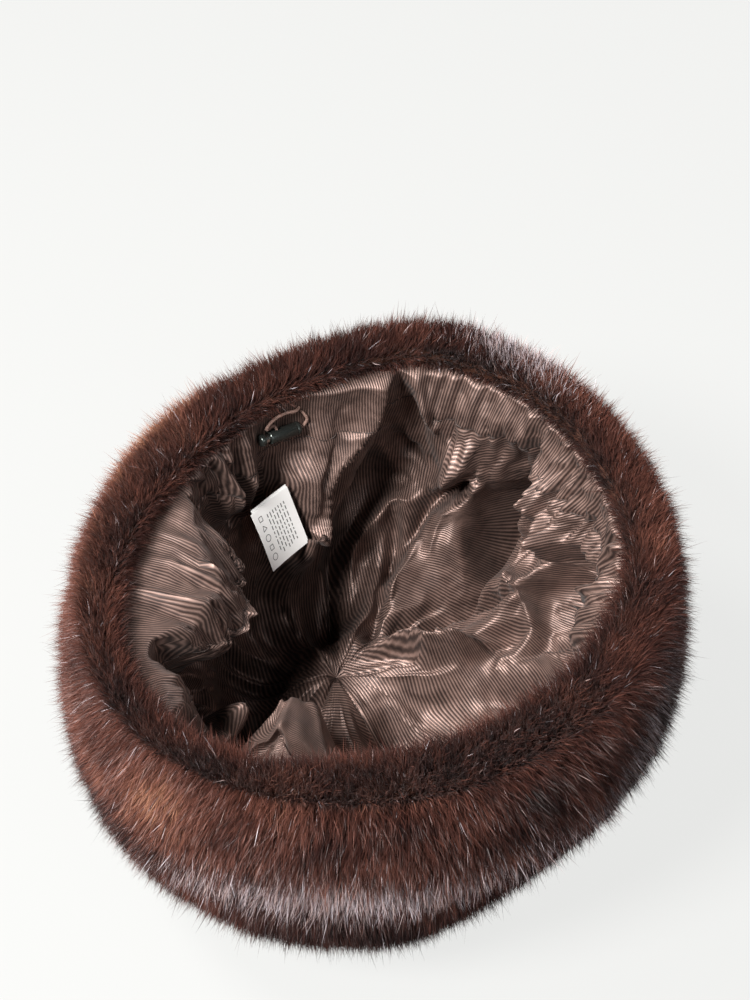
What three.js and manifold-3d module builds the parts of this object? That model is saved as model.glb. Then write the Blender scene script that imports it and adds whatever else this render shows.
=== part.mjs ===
// A mink fur hat that lies crown-down with its opening up: a fur band and a fur crown round a hollow wall, a
// gathered satin lining sewn from six gores, a drawcord in its casing with an eyelet and a spring cord lock, and a
// care label. Millimetres, +Z up. The crown rests on z = 0 and the rim is at the top.

import * as THREE from "three";
import { mergeVertices } from "three/addons/utils/BufferGeometryUtils.js";
import Module from "manifold-3d";

const wasm = await Module();
wasm.setup();

// Driving sizes
const GAP = 0.3; // between neighbouring pieces
const RIM_HEIGHT = 150; // floor to the crest of the lip
const BAND_SEAM_HEIGHT = 48; // where the band's lower edge meets the crown
const LEAN = -7; // the crown sits this far to the left of the rim
const CLOTH = 1; // satin
const SKIN_OFFSET = 3.4; // from the lining's edge out to the fur's leather wall
const CENTRE_X = 1.56; // moves the whole hat so that its box is centred on the origin
const CENTRE_Y = -4.05;

// The rim seen from above, one row every 20 degrees from +X: the fur's fullest radius, the radius of the lower
// crown, and the radius of the lining's edge inside the lip.
const RIM = [
  { fur: 120, crown: 116, lip: 98 },
  { fur: 121.5, crown: 120, lip: 98 },
  { fur: 124, crown: 123, lip: 101 },
  { fur: 127, crown: 124, lip: 104 },
  { fur: 127, crown: 122, lip: 104 },
  { fur: 118, crown: 117, lip: 95 },
  { fur: 112, crown: 114, lip: 89 },
  { fur: 115, crown: 115, lip: 87 },
  { fur: 115, crown: 116, lip: 89 },
  { fur: 117, crown: 118, lip: 95 },
  { fur: 120, crown: 120, lip: 104 },
  { fur: 121.5, crown: 121, lip: 107 },
  { fur: 119, crown: 119, lip: 104 },
  { fur: 117, crown: 117, lip: 95 },
  { fur: 116, crown: 115, lip: 90 },
  { fur: 116, crown: 109, lip: 88 },
  { fur: 118, crown: 108, lip: 91 },
  { fur: 119.5, crown: 112, lip: 94 },
];

// The fur's outline from the crest of the lip down to the edge of the flat that it rests on: height, and the share
// that the fur's and the lip's radii have in its radius.
const OUTLINE = [
  { height: 150, fur: 0.5, lip: 0.5 },
  { height: 147.5, fur: 0.76, lip: 0.22 },
  { height: 140, fur: 0.96, lip: 0.01 },
  { height: 127, fur: 0.995, lip: 0 },
  { height: 112, fur: 1.015, lip: 0 },
  { height: 97, fur: 1.025, lip: 0 },
  { height: 82, fur: 1.025, lip: 0 },
  { height: 67, fur: 1.01, lip: 0 },
  { height: 53, fur: 0.985, lip: 0 },
  { height: 39, fur: 0.945, lip: 0 },
  { height: 26, fur: 0.885, lip: 0 },
  { height: 14, fur: 0.79, lip: 0 },
  { height: 5, fur: 0.67, lip: 0 },
  { height: 0, fur: 0.55, lip: 0 },
];
const CREST_STEP = 0;
const SEAM_STEP = 8.36; // where OUTLINE passes the band's lower edge
const SEAM_ROW_HEIGHT = 14; // between OUTLINE's rows at the seam
const FLOOR_STEP = OUTLINE.length - 1;

// The band's inner edge, from the leather up and over to the crest: height, and distance from the lining's edge
const LIP_ROLL = [
  { height: 141, offset: -1.6 },
  { height: 145.5, offset: -0.8 },
  { height: 150, offset: 5 },
];

// Fur locks: rows of tufts that lean from the rim towards the crown
const LOCK_COLUMNS = 34;
const BAND_LOCK_ROWS = 6;
const CROWN_LOCK_ROWS = 4;
const LOCK_DEPTH = 2.6;
const FIRST_LOCK_STEP = 0.25; // of OUTLINE, just outside the crest
const LAST_LOCK_STEP = 12.5; // just above the floor

// One lock: how far along its row it reaches, and its height over the roots, both as shares
const LOCK_BELLY = { reach: 0.45, ridge: 1, valley: 0.2 };
const LOCK_TIP = { reach: 1.1, ridge: 1.2 };
const LOCK_NOTCH = { reach: 0.8, valley: 0.4 }; // between two tips
const LAST_TIP_REACH = 0.94;

// The leather wall inside the fur, below the lip: height, and its distance from the lining's edge radius
const BAND_WALL = [
  { height: 139.6, offset: SKIN_OFFSET },
  { height: 116, offset: SKIN_OFFSET + 0.6 },
  { height: 82, offset: SKIN_OFFSET + 1.2 },
  { height: BAND_SEAM_HEIGHT, offset: SKIN_OFFSET - 1 },
];
const CROWN_WALL = [
  { height: BAND_SEAM_HEIGHT - GAP, share: 1.025 },
  { height: 34, share: 0.93 },
  { height: 24, share: 0.76 },
  { height: 19, share: 0.5 },
  { height: 17.5, share: 0.22 },
];
const CROWN_INSIDE_HEIGHT = 17;

// Lining: rows from the casing down to the centre, with the share of the lip's radius
const LINING_ROWS = [
  { depth: 0, height: 117.4, share: 0.99 },
  { depth: 0.13, height: 105, share: 0.98 },
  { depth: 0.26, height: 92, share: 0.965 },
  { depth: 0.39, height: 80, share: 0.93 },
  { depth: 0.52, height: 69, share: 0.86 },
  { depth: 0.64, height: 60.5, share: 0.73 },
  { depth: 0.76, height: 55, share: 0.55 },
  { depth: 0.88, height: 52, share: 0.33 },
  { depth: 1, height: 50.5, share: 0.022 },
];
const LINING_CENTRE = { x: -12, y: 14 }; // the gores' meeting point, off the middle
const DRIFT_FROM = 0.2; // the depth where the lining starts to lean towards that point
const DRIFT_POWER = 1.5;
const SEAM_ANGLES = [5, 68, 122, 185, 245, 300];
const GORE_COLUMNS = 11;

// The lining's main folds, one ridge or furrow a row. at, depth, wide and rise are its angle, its place on the way
// to the centre, its half width in degrees and its height into the hollow at its upper end, and the to columns at
// its lower end.
const FOLDS = {
  pouch_below_lock: { at: 104, toAt: 112, depth: 0, toDepth: 0.72, wide: 19, toWide: 9, rise: 15, toRise: 26 },
  shade_by_pouch: { at: 88, toAt: 89, depth: 0.37, toDepth: 0.83, wide: 8, toWide: 14, rise: -3, toRise: -8 },
  back_panel_ridge: { at: 57, toAt: 78, depth: 0.22, toDepth: 0.9, wide: 8, toWide: 16, rise: 7, toRise: 9 },
  back_panel_dent: { at: 52, toAt: 43, depth: 0.25, toDepth: 0.5, wide: 10, toWide: 11, rise: -4, toRise: -5 },
  right_panel_ridge: { at: 38, toAt: 27, depth: 0.05, toDepth: 0.62, wide: 7, toWide: 9, rise: 8, toRise: 10 },
  centre_ridge: { at: 17, toAt: 351, depth: 0.48, toDepth: 0.9, wide: 8, toWide: 24, rise: 9, toRise: 9 },
  right_pouch: { at: 346, toAt: 347, depth: 0.1, toDepth: 0.55, wide: 10, toWide: 11, rise: 9, toRise: 5 },
  front_right_pouch: { at: 318, toAt: 322, depth: 0.1, toDepth: 0.5, wide: 11, toWide: 9, rise: 8, toRise: 3 },
  front_bulge: { at: 258, toAt: 246, depth: 0.15, toDepth: 0.8, wide: 15, toWide: 20, rise: 14, toRise: 21 },
  left_lower_pouch: { at: 208, toAt: 224, depth: 0.3, toDepth: 0.68, wide: 10, toWide: 12, rise: 12, toRise: 13 },
  left_pouch: { at: 178, toAt: 196, depth: 0.1, toDepth: 0.6, wide: 10, toWide: 11, rise: 12, toRise: 18 },
  left_back_pouch: { at: 151, toAt: 163, depth: 0.08, toDepth: 0.64, wide: 12, toWide: 11, rise: 13, toRise: 23 },
  deep_hollow: { at: 140, toAt: 180, depth: 0.76, toDepth: 0.9, wide: 30, toWide: 60, rise: -6, toRise: -10 },
};
const FOLD_FADE = 0.12; // in depth, past each end of a fold
const FOLDS_GROW = { from: -0.1, to: 0.15 }; // depths where the folds come out of the casing
const FOLDS_DIE = { from: 0.78, to: 0.97 }; // and where they run out at the centre

// Drawcord casing: a turned-down hem whose two plies hold the cord between them
const CASING_TOP = 139;
const CASING_FOOT = 118;
const CASING_COLUMNS = 80;
const PLY_ROOM = 2; // between the plies
const GATHER_DEPTH = 2.6;
const GATHER_AT_TOP = 0.3; // of that depth
const GATHER_UNEVENNESS = 0.25;
const SMOOTH_FROM = 92; // the casing lies flat between these angles, beside the cord lock
const SMOOTH_TO = 128;
const SMOOTH_FADE = 14;
const INNER_FACE = -1.3; // of the inner ply, from the lip's radius

// Cord, eyelet and cord lock
const CORD_RADIUS = 0.7;
const CORD_SIDES = 8;
const CORD_OFFSET = INNER_FACE + CLOTH + PLY_ROOM / 2;
const CORD_HEIGHT = 133;
const CORD_RING_POINTS = 56;
const CORD_CLEARANCE = 3.5; // degrees from the eyelet's middle to the first point inside the casing
const STRAND_PITCH = 1.9; // between the middles of the two strands

// The upper strand's places: before and along the lock's slot, then round to the eyelet. offset is measured from the
// radius of the lining's edge.
const UPPER_STRAND_AT_LOCK = [
  { before: -2.3, along: 0 },
  { before: 1.4, along: 0 },
  { before: 3.2, along: 0.5 },
  { before: 4.6, along: 1.7 },
];
const UPPER_STRAND = [
  { angle: 121.3, offset: -4.8, height: 133.2 },
  { angle: 120.2, offset: -4.6, height: 135.4 },
  { angle: 117.6, offset: -4.4, height: 136.6 },
  { angle: 114.6, offset: -4.2, height: 136 },
  { angle: 112.3, offset: -4.4, height: 134.9 },
  { angle: 110.9, offset: -3.7, height: 134.15 },
  { angle: 110.3, offset: -2.4, height: 133.95 },
  { angle: 110.2, offset: -1.4, height: 133.95 },
  { angle: 110.2, offset: -0.5, height: 133.95 },
  { angle: 109.9, offset: 0.4, height: 133.95 },
  { angle: 109, offset: CORD_OFFSET, height: 133.95 },
];

// The lower strand: out of the eyelet, down past the lock's blind end and into its hole
const LOWER_STRAND = [
  { angle: 111.4, offset: CORD_OFFSET, height: 132.05 },
  { angle: 110.5, offset: 0.4, height: 132.05 },
  { angle: 110.2, offset: -0.5, height: 132.05 },
  { angle: 110.1, offset: -1.6, height: 132.05 },
  { angle: 109.8, offset: -3, height: 131.75 },
  { angle: 108.9, offset: -4.5, height: 129.9 },
  { angle: 108.4, offset: -5.4, height: 127.6 },
];
const LOWER_STRAND_AT_LOCK = [
  { before: 2.3, lift: 0.5 },
  { before: 1, lift: 0 },
  { before: -2, lift: 0 },
];
const EYELET_ANGLE = 110.2;
const EYELET_HALF_WIDTH = 1.7; // inside the ring
const EYELET_HALF_HEIGHT = 2.9;
const EYELET_WIRE = 0.9;
const LOCK_BLIND_END = new THREE.Vector3(-31.6, 80.0, 125);
const LOCK_BUTTON_END = new THREE.Vector3(-47.4, 68.6, 129.6);
const BARREL_LENGTH = 15.5;
const BARREL_RADIUS = 2.9;
const BORE_RADIUS = 2.15;
const BLIND_WALL = 1.5;
const CORD_HOLE = 1.05; // radius of the hole in the barrel's blind end
const BUTTON_RADIUS = 2.5;
const STEM_RADIUS = 1.8;
const STEM_START = 5.6; // from the barrel's blind end
const PRESS_TRAVEL = 2;
const SLOT_MIDDLE = 11;
const SLOT_LENGTH = 4.2;
const SLOT_WIDTH = 2.3;
const ROUND_SIDES = 16;

// Care label: a folded satin tape, sewn to the lining along one edge and standing free into the hollow
const LABEL = { width: 24, height: 27, ply: 0.5, room: 0.5, sewn: 1.5, step: 2 };
const LABEL_CORNER = new THREE.Vector3(-37.4, 66.2, 103.3);
const LABEL_ACROSS = new THREE.Vector3(-0.647, -0.747, 0.151);
const LABEL_DOWN = new THREE.Vector3(0.323, -0.449, -0.833);

const degrees = THREE.MathUtils.degToRad;
const mix = THREE.MathUtils.lerp;
const smooth = THREE.MathUtils.smoothstep;

// Catmull-Rom value between the four numbers round a place in a row of numbers.
function curved(a, b, c, d, t) {
  const first = c - a;
  const second = 2 * a - 5 * b + 4 * c - d;
  const third = 3 * b - a - 3 * c + d;
  return b + 0.5 * t * (first + t * (second + t * third));
}

// A column of RIM at any angle.
function rim(angle, column) {
  const place = ((((angle % 360) + 360) % 360) / 360) * RIM.length;
  const row = Math.floor(place);
  const at = (step) => RIM[(row + step + RIM.length) % RIM.length][column];
  return curved(at(-1), at(0), at(1), at(2), place - row);
}

// A column of a table of rows at a step that may lie between two rows.
function between(table, step, column) {
  const last = table.length - 1;
  const row = Math.min(Math.floor(step), last - 1);
  const at = (index) => table[Math.min(Math.max(index, 0), last)][column];
  return curved(at(row - 1), at(row), at(row + 1), at(row + 2), step - row);
}

// A place measured from the middle of the rim, moved with the whole hat.
function centred(place) {
  return new THREE.Vector3(place.x + CENTRE_X, place.y + CENTRE_Y, place.z);
}

// A point at an angle, radius and height, with the hat's lean.
function point(angle, radius, height) {
  const x = radius * Math.cos(degrees(angle)) + LEAN * (1 - height / RIM_HEIGHT);
  return centred({ x, y: radius * Math.sin(degrees(angle)), z: height });
}

function outlinePoint(angle, step) {
  const height = Math.max(between(OUTLINE, step, "height"), 0);
  const lower = smooth(RIM_HEIGHT - height, 50, 100);
  const fur = mix(rim(angle, "fur"), rim(angle, "crown"), lower);
  const radius = fur * between(OUTLINE, step, "fur") + rim(angle, "lip") * between(OUTLINE, step, "lip");
  return { radius, height };
}

// The outline's point moved along the outline's own normal, for the ridges and roots of the locks.
function furPoint(angle, step, lift) {
  const here = outlinePoint(angle, step);
  const before = outlinePoint(angle, Math.max(step - 0.1, CREST_STEP));
  const after = outlinePoint(angle, Math.min(step + 0.1, FLOOR_STEP));
  const along = Math.hypot(after.radius - before.radius, after.height - before.height);
  const radius = here.radius + (lift * (before.height - after.height)) / along;
  const height = here.height + (lift * (after.radius - before.radius)) / along;
  return point(angle, radius, height);
}

// Closed skins from rings of points. Each ring is an array of the same number of Vector3.
function stitch(rings, closeRings, poles) {
  const columns = rings[0].length;
  const positions = rings.flat().flatMap((p) => [p.x, p.y, p.z]);
  const faces = [];
  const id = (ring, column) => (ring % rings.length) * columns + (column % columns);
  const ringSteps = closeRings ? rings.length : rings.length - 1;
  for (let ring = 0; ring < ringSteps; ring++)
    for (let column = 0; column < columns; column++) {
      const a = id(ring, column);
      const b = id(ring, column + 1);
      const c = id(ring + 1, column + 1);
      const d = id(ring + 1, column);
      if ((ring + column) % 2) faces.push(a, d, b, b, d, c);
      else faces.push(a, c, b, a, d, c);
    }
  if (poles) {
    const first = positions.length / 3;
    positions.push(poles[0].x, poles[0].y, poles[0].z, poles[1].x, poles[1].y, poles[1].z);
    for (let column = 0; column < columns; column++) {
      faces.push(first, id(0, column), id(0, column + 1));
      faces.push(first + 1, id(rings.length - 1, column + 1), id(rings.length - 1, column));
    }
  }
  const geometry = new THREE.BufferGeometry();
  geometry.setAttribute("position", new THREE.Float32BufferAttribute(positions, 3));
  geometry.setIndex(faces);
  geometry.computeVertexNormals();
  return geometry;
}

function ringAt(columns, make) {
  return Array.from({ length: columns }, (_, column) => make((360 * column) / columns, column));
}

// How far a share of a lock's height lies from the outline, which passes through the top of its belly.
function lockLift(share) {
  return (share - 1) * LOCK_DEPTH;
}

// Rows of locks on the outline: a sunk root, a belly and an overhanging tip, with ridges and valleys by turns.
function lockRings(fromStep, toStep, rows) {
  const rings = [];
  const pitch = (toStep - fromStep) / rows;
  for (let row = 0; row < rows; row++) {
    const start = fromStep + row * pitch;
    const reach = row === rows - 1 ? LAST_TIP_REACH : LOCK_TIP.reach;
    const ridge = (column) => (column + row) % 2 === 0;
    const belly = (angle, column) =>
      furPoint(angle, start + LOCK_BELLY.reach * pitch, lockLift(ridge(column) ? LOCK_BELLY.ridge : LOCK_BELLY.valley));
    const tip = (angle, column) =>
      ridge(column)
        ? furPoint(angle, start + reach * pitch, lockLift(LOCK_TIP.ridge))
        : furPoint(angle, start + LOCK_NOTCH.reach * pitch, lockLift(LOCK_NOTCH.valley));
    rings.push(ringAt(2 * LOCK_COLUMNS, (angle) => furPoint(angle, start, lockLift(0))));
    rings.push(ringAt(2 * LOCK_COLUMNS, belly));
    rings.push(ringAt(2 * LOCK_COLUMNS, tip));
  }
  return rings;
}

// The band: over the crest of the lip, down the outside in locks, across the seam and up the leather wall.
function furBand() {
  const columns = 2 * LOCK_COLUMNS;
  const wall = BAND_WALL.toReversed();
  const rings = [
    ...LIP_ROLL.map((row) => ringAt(columns, (angle) => nearLip(angle, row.offset, row.height))),
    ...lockRings(FIRST_LOCK_STEP, SEAM_STEP, BAND_LOCK_ROWS),
    ringAt(columns, (angle) => furPoint(angle, SEAM_STEP, lockLift(0))),
    ...wall.map((row) => ringAt(columns, (angle) => nearLip(angle, row.offset, row.height))),
  ];
  return stitch(rings, true);
}

// The crown: locks from the seam down to the flat that it rests on, and the bowl of leather inside.
function furCrown() {
  const columns = 2 * LOCK_COLUMNS;
  const seam = SEAM_STEP + GAP / SEAM_ROW_HEIGHT;
  const wall = CROWN_WALL.map((row) =>
    ringAt(columns, (angle) => point(angle, rim(angle, "lip") * row.share, row.height)),
  );
  const rings = [
    ...wall.toReversed(),
    ...lockRings(seam, LAST_LOCK_STEP, CROWN_LOCK_ROWS),
    ringAt(columns, (angle) => furPoint(angle, FLOOR_STEP, 0)),
  ];
  return stitch(rings, false, [point(0, 0, CROWN_INSIDE_HEIGHT), point(0, 0, 0)]);
}

// How strongly the casing is gathered at an angle: nothing beside the cord lock.
function gathering(angle) {
  const middle = (SMOOTH_FROM + SMOOTH_TO) / 2;
  const half = (SMOOTH_TO - SMOOTH_FROM) / 2;
  const away = Math.abs(((angle - middle + 540) % 360) - 180);
  const waves = Math.sin(degrees(3 * angle + 40)) * Math.cos(degrees(5 * angle));
  const uneven = 1 - GATHER_UNEVENNESS * (1 - waves);
  return smooth(away, half, half + SMOOTH_FADE) * uneven;
}

// How far the folds stand in from the plain lining. They run out at the casing and at the centre, which hold the cloth.
function foldRise(angle, depth) {
  let rise = 0;
  for (const fold of Object.values(FOLDS)) {
    const along = THREE.MathUtils.clamp((depth - fold.depth) / (fold.toDepth - fold.depth), 0, 1);
    const turn = ((fold.toAt - fold.at + 540) % 360) - 180;
    const across = (((angle - fold.at - turn * along + 900) % 360) - 180) / mix(fold.wide, fold.toWide, along);
    const past = Math.max(fold.depth - depth, depth - fold.toDepth, 0) / FOLD_FADE;
    rise += mix(fold.rise, fold.toRise, along) * Math.exp(-across * across - past * past);
  }
  const grown = smooth(depth, FOLDS_GROW.from, FOLDS_GROW.to);
  return rise * grown * (1 - smooth(depth, FOLDS_DIE.from, FOLDS_DIE.to));
}

// The lining without folds.
function liningBase(angle, depth) {
  let step = 0;
  while (step < LINING_ROWS.length - 2 && LINING_ROWS[step + 1].depth < depth) step++;
  const from = LINING_ROWS[step].depth;
  const place = step + (depth - from) / (LINING_ROWS[step + 1].depth - from);
  const p = point(
    angle,
    rim(angle, "lip") * between(LINING_ROWS, place, "share"),
    between(LINING_ROWS, place, "height"),
  );
  const drift = Math.max((depth - DRIFT_FROM) / (1 - DRIFT_FROM), 0) ** DRIFT_POWER;
  p.x += LINING_CENTRE.x * drift;
  p.y += LINING_CENTRE.y * drift;
  return p;
}

function normalOf(surface, angle, depth) {
  const across = surface(angle + 1, depth).sub(surface(angle - 1, depth));
  const down = surface(angle, Math.min(depth + 0.01, 1)).sub(surface(angle, Math.max(depth - 0.01, 0)));
  return across.cross(down).normalize();
}

// The lining's inner face with its folds, which stand along the normal of the plain lining.
function liningFace(angle, depth) {
  const normal = normalOf(liningBase, angle, depth);
  return liningBase(angle, depth).addScaledVector(normal, foldRise(angle, depth));
}

// One gore between two seams: its inner face, its outer face one cloth further out, and the four edges.
function liningGore(fromAngle, toAngle) {
  const rows = LINING_ROWS.length;
  const sheet = [0, CLOTH].map((thick) =>
    LINING_ROWS.map(({ depth }) => {
      const radius = liningBase(fromAngle, depth).distanceTo(liningBase(fromAngle + 180, depth)) / 2;
      const edge = THREE.MathUtils.radToDeg(GAP / 2 / radius);
      return Array.from({ length: GORE_COLUMNS + 1 }, (_, column) => {
        const angle = mix(fromAngle + edge, toAngle - edge, column / GORE_COLUMNS);
        const out = normalOf(liningFace, angle, depth).multiplyScalar(-thick);
        return liningFace(angle, depth).add(out);
      });
    }),
  );
  // Each ring runs along a row of the outer face and back along the same row of the inner face.
  const rings = sheet[1].map((row, index) => [...row, ...sheet[0][index].toReversed()]);
  const geometry = stitch(rings, false);
  const faces = [...geometry.index.array];
  const columns = rings[0].length;
  const cap = (ring, flip) => {
    for (let column = 0; column < GORE_COLUMNS; column++) {
      const a = ring * columns + column;
      const b = a + 1;
      const d = ring * columns + columns - 1 - column;
      const c = d - 1;
      if (flip) faces.push(a, c, b, a, d, c);
      else faces.push(a, b, c, a, c, d);
    }
  };
  cap(0, false);
  cap(rows - 1, true);
  geometry.setIndex(faces);
  geometry.computeVertexNormals();
  return geometry;
}

// The casing's section at an angle: a hem folded over at the top, open at its foot, with its inner ply gathered.
function casingSection(angle, column) {
  const fold = gathering(angle) * GATHER_DEPTH * (column % 2);
  const outer = INNER_FACE + 2 * CLOTH + PLY_ROOM;
  const section = [
    [outer - CLOTH, CASING_FOOT],
    [outer - CLOTH, CASING_TOP - CLOTH],
    [INNER_FACE - GATHER_AT_TOP * fold + CLOTH, CASING_TOP - CLOTH],
    [INNER_FACE - fold + CLOTH, CASING_FOOT],
    [INNER_FACE - fold, CASING_FOOT],
    [INNER_FACE - GATHER_AT_TOP * fold, CASING_TOP],
    [outer, CASING_TOP],
    [outer, CASING_FOOT],
  ];
  return section.map(([offset, height]) => nearLip(angle, offset, height));
}

// A place beside the casing: its distance is measured from the radius of the lining's edge.
function nearLip(angle, offset, height) {
  return point(angle, rim(angle, "lip") + offset, height);
}

// The eyelet's frame: its middle on the casing, sideways along the rim, up, and out towards the hollow.
function eyeletFrame() {
  const middle = nearLip(EYELET_ANGLE, INNER_FACE, CORD_HEIGHT);
  const side = nearLip(EYELET_ANGLE - 1, 0, 0).sub(nearLip(EYELET_ANGLE + 1, 0, 0)).normalize();
  const up = new THREE.Vector3(0, 0, 1);
  return { middle, side, up, out: side.clone().cross(up) };
}

function toSolid(geometry) {
  const bare = geometry.clone();
  bare.deleteAttribute("normal");
  bare.deleteAttribute("uv");
  const merged = mergeVertices(bare, 1e-4);
  return new wasm.Manifold(
    new wasm.Mesh({
      numProp: 3,
      vertProperties: new Float32Array(merged.attributes.position.array),
      triVerts: new Uint32Array(merged.index.array),
    }),
  );
}

function toGeometry(solid) {
  const mesh = solid.getMesh();
  const geometry = new THREE.BufferGeometry();
  geometry.setAttribute("position", new THREE.BufferAttribute(mesh.vertProperties, 3));
  geometry.setIndex(new THREE.BufferAttribute(mesh.triVerts, 1));
  geometry.computeVertexNormals();
  return geometry;
}

function ellipse(halfWidth, halfHeight) {
  return new THREE.Shape().absellipse(0, 0, halfWidth, halfHeight, 0, 2 * Math.PI);
}

// Extrudes an outline along an axis of a frame, from one distance to another along that axis.
function extruded(shape, frame, from, to) {
  const geometry = new THREE.ExtrudeGeometry(shape, {
    depth: to - from,
    bevelEnabled: false,
    curveSegments: ROUND_SIDES / 2,
  });
  geometry.translate(0, 0, from);
  geometry.applyMatrix4(new THREE.Matrix4().makeBasis(frame.side, frame.up, frame.out).setPosition(frame.middle));
  return geometry;
}

function drawcordCasing() {
  const sections = ringAt(CASING_COLUMNS, casingSection);
  const rings = sections[0].map((_, corner) => sections.map((section) => section[corner]));
  const hole = extruded(ellipse(EYELET_HALF_WIDTH, EYELET_HALF_HEIGHT), eyeletFrame(), -2 * CLOTH, CLOTH);
  return toGeometry(toSolid(stitch(rings, true)).subtract(toSolid(hole)));
}

// A flat oval ring that lies on the casing round its hole.
function cordEyelet() {
  const shape = ellipse(EYELET_HALF_WIDTH + EYELET_WIRE, EYELET_HALF_HEIGHT + EYELET_WIRE);
  shape.holes.push(new THREE.Path().absellipse(0, 0, EYELET_HALF_WIDTH, EYELET_HALF_HEIGHT, 0, 2 * Math.PI, true));
  return extruded(shape, eyeletFrame(), GAP, GAP + EYELET_WIRE);
}

// The lock's frame: its blind end, its axis towards the button, and the way that the strand goes through it.
function lockFrame() {
  const start = centred(LOCK_BLIND_END);
  const axis = LOCK_BUTTON_END.clone().sub(LOCK_BLIND_END).normalize();
  const inward = nearLip(EYELET_ANGLE, -2, 0).sub(nearLip(EYELET_ANGLE, -1, 0));
  const through = new THREE.Vector3(0, 0, -1).addScaledVector(inward, 0.5);
  through.addScaledVector(axis, -through.dot(axis)).normalize();
  return { start, axis, through };
}

// Stands a piece that was turned about its Y on the lock's axis, with its Z along the strand.
function onLock(mesh) {
  const { start, axis, through } = lockFrame();
  const side = axis.clone().cross(through);
  mesh.quaternion.setFromRotationMatrix(new THREE.Matrix4().makeBasis(side, axis, through));
  mesh.position.copy(start);
  return mesh;
}

// A slot with round ends across the lock's axis, from the blind end's side, through its whole width.
function slotCutter(middle, length) {
  const straight = length / 2 - SLOT_WIDTH / 2;
  const shape = new THREE.Shape();
  shape.absarc(0, straight, SLOT_WIDTH / 2, 0, Math.PI);
  shape.absarc(0, -straight, SLOT_WIDTH / 2, Math.PI, 2 * Math.PI);
  const geometry = new THREE.ExtrudeGeometry(shape, {
    depth: 4 * BARREL_RADIUS,
    bevelEnabled: false,
    curveSegments: 4,
  });
  return toSolid(geometry.translate(0, middle, -2 * BARREL_RADIUS));
}

function turned(profile) {
  const points = profile.map(([radius, height]) => new THREE.Vector2(radius, height));
  return toSolid(new THREE.LatheGeometry(points, ROUND_SIDES));
}

// The barrel: a cup with a small hole for the cord in its end, an open mouth for the button and a slot across it.
function lockBarrel() {
  const edge = 0.7;
  const body = turned([
    [CORD_HOLE, 0],
    [BARREL_RADIUS - edge, 0],
    [BARREL_RADIUS, edge],
    [BARREL_RADIUS, BARREL_LENGTH - edge / 2],
    [BARREL_RADIUS - edge / 2, BARREL_LENGTH],
    [BORE_RADIUS, BARREL_LENGTH],
    [BORE_RADIUS, BLIND_WALL],
    [CORD_HOLE, BLIND_WALL],
    [CORD_HOLE, 0],
  ]);
  return toGeometry(body.subtract(slotCutter(SLOT_MIDDLE, SLOT_LENGTH)));
}

// The button: a stem with a longer slot, so that the strand stays clear of it through its travel, and a head.
function lockButton() {
  const head = BARREL_LENGTH + PRESS_TRAVEL + GAP;
  const tip = LOCK_BUTTON_END.distanceTo(LOCK_BLIND_END);
  const edge = 0.6;
  const body = turned([
    [0, STEM_START],
    [STEM_RADIUS, STEM_START],
    [STEM_RADIUS, head],
    [BUTTON_RADIUS, head],
    [BUTTON_RADIUS, tip - edge],
    [BUTTON_RADIUS - edge, tip],
    [0, tip],
  ]);
  return toGeometry(body.subtract(slotCutter(SLOT_MIDDLE + PRESS_TRAVEL / 2, SLOT_LENGTH + PRESS_TRAVEL)));
}

// The upper strand: from the lock's slot up over the lining, in an arc to the eyelet and through it.
function upperStrand() {
  const { start, axis, through } = lockFrame();
  const slot = start.addScaledVector(axis, SLOT_MIDDLE);
  const atLock = UPPER_STRAND_AT_LOCK.map(({ before, along }) =>
    slot.clone().addScaledVector(through, -before).addScaledVector(axis, along),
  );
  return [...atLock, ...UPPER_STRAND.map(({ angle, offset, height }) => nearLip(angle, offset, height))];
}

function lowerStrand() {
  const { start, axis } = lockFrame();
  const atLock = LOWER_STRAND_AT_LOCK.map(({ before, lift }) =>
    start.clone().addScaledVector(axis, -before).add(new THREE.Vector3(0, 0, lift)),
  );
  return [...LOWER_STRAND.map(({ angle, offset, height }) => nearLip(angle, offset, height)), ...atLock];
}

// The whole cord: from the lock through the eyelet, once round the head inside the casing, and back to the lock.
function cordRoute() {
  const ring = Array.from({ length: CORD_RING_POINTS }, (_, step) => {
    const share = step / (CORD_RING_POINTS - 1);
    const angle = EYELET_ANGLE - CORD_CLEARANCE - (360 - 2 * CORD_CLEARANCE) * share;
    return nearLip(angle, CORD_OFFSET, CORD_HEIGHT + (0.5 - share) * STRAND_PITCH);
  });
  return [...upperStrand(), ...ring, ...lowerStrand()];
}

// A round cord through hand-set points, closed by a flat cut at each end.
function drawcord() {
  const route = cordRoute();
  const up = new THREE.Vector3(0, 0, 1);
  const rings = route.map((p, index) => {
    const ahead = route[Math.min(index + 1, route.length - 1)];
    const behind = route[Math.max(index - 1, 0)];
    const along = ahead.clone().sub(behind).normalize();
    const side = along.clone().cross(up).normalize();
    const over = side.clone().cross(along);
    return Array.from({ length: CORD_SIDES }, (_, corner) => {
      const turn = (2 * Math.PI * corner) / CORD_SIDES;
      return p
        .clone()
        .addScaledVector(side, CORD_RADIUS * Math.cos(turn))
        .addScaledVector(over, CORD_RADIUS * Math.sin(turn));
    });
  });
  return stitch(rings, false, [route[0], route[route.length - 1]]);
}

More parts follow.
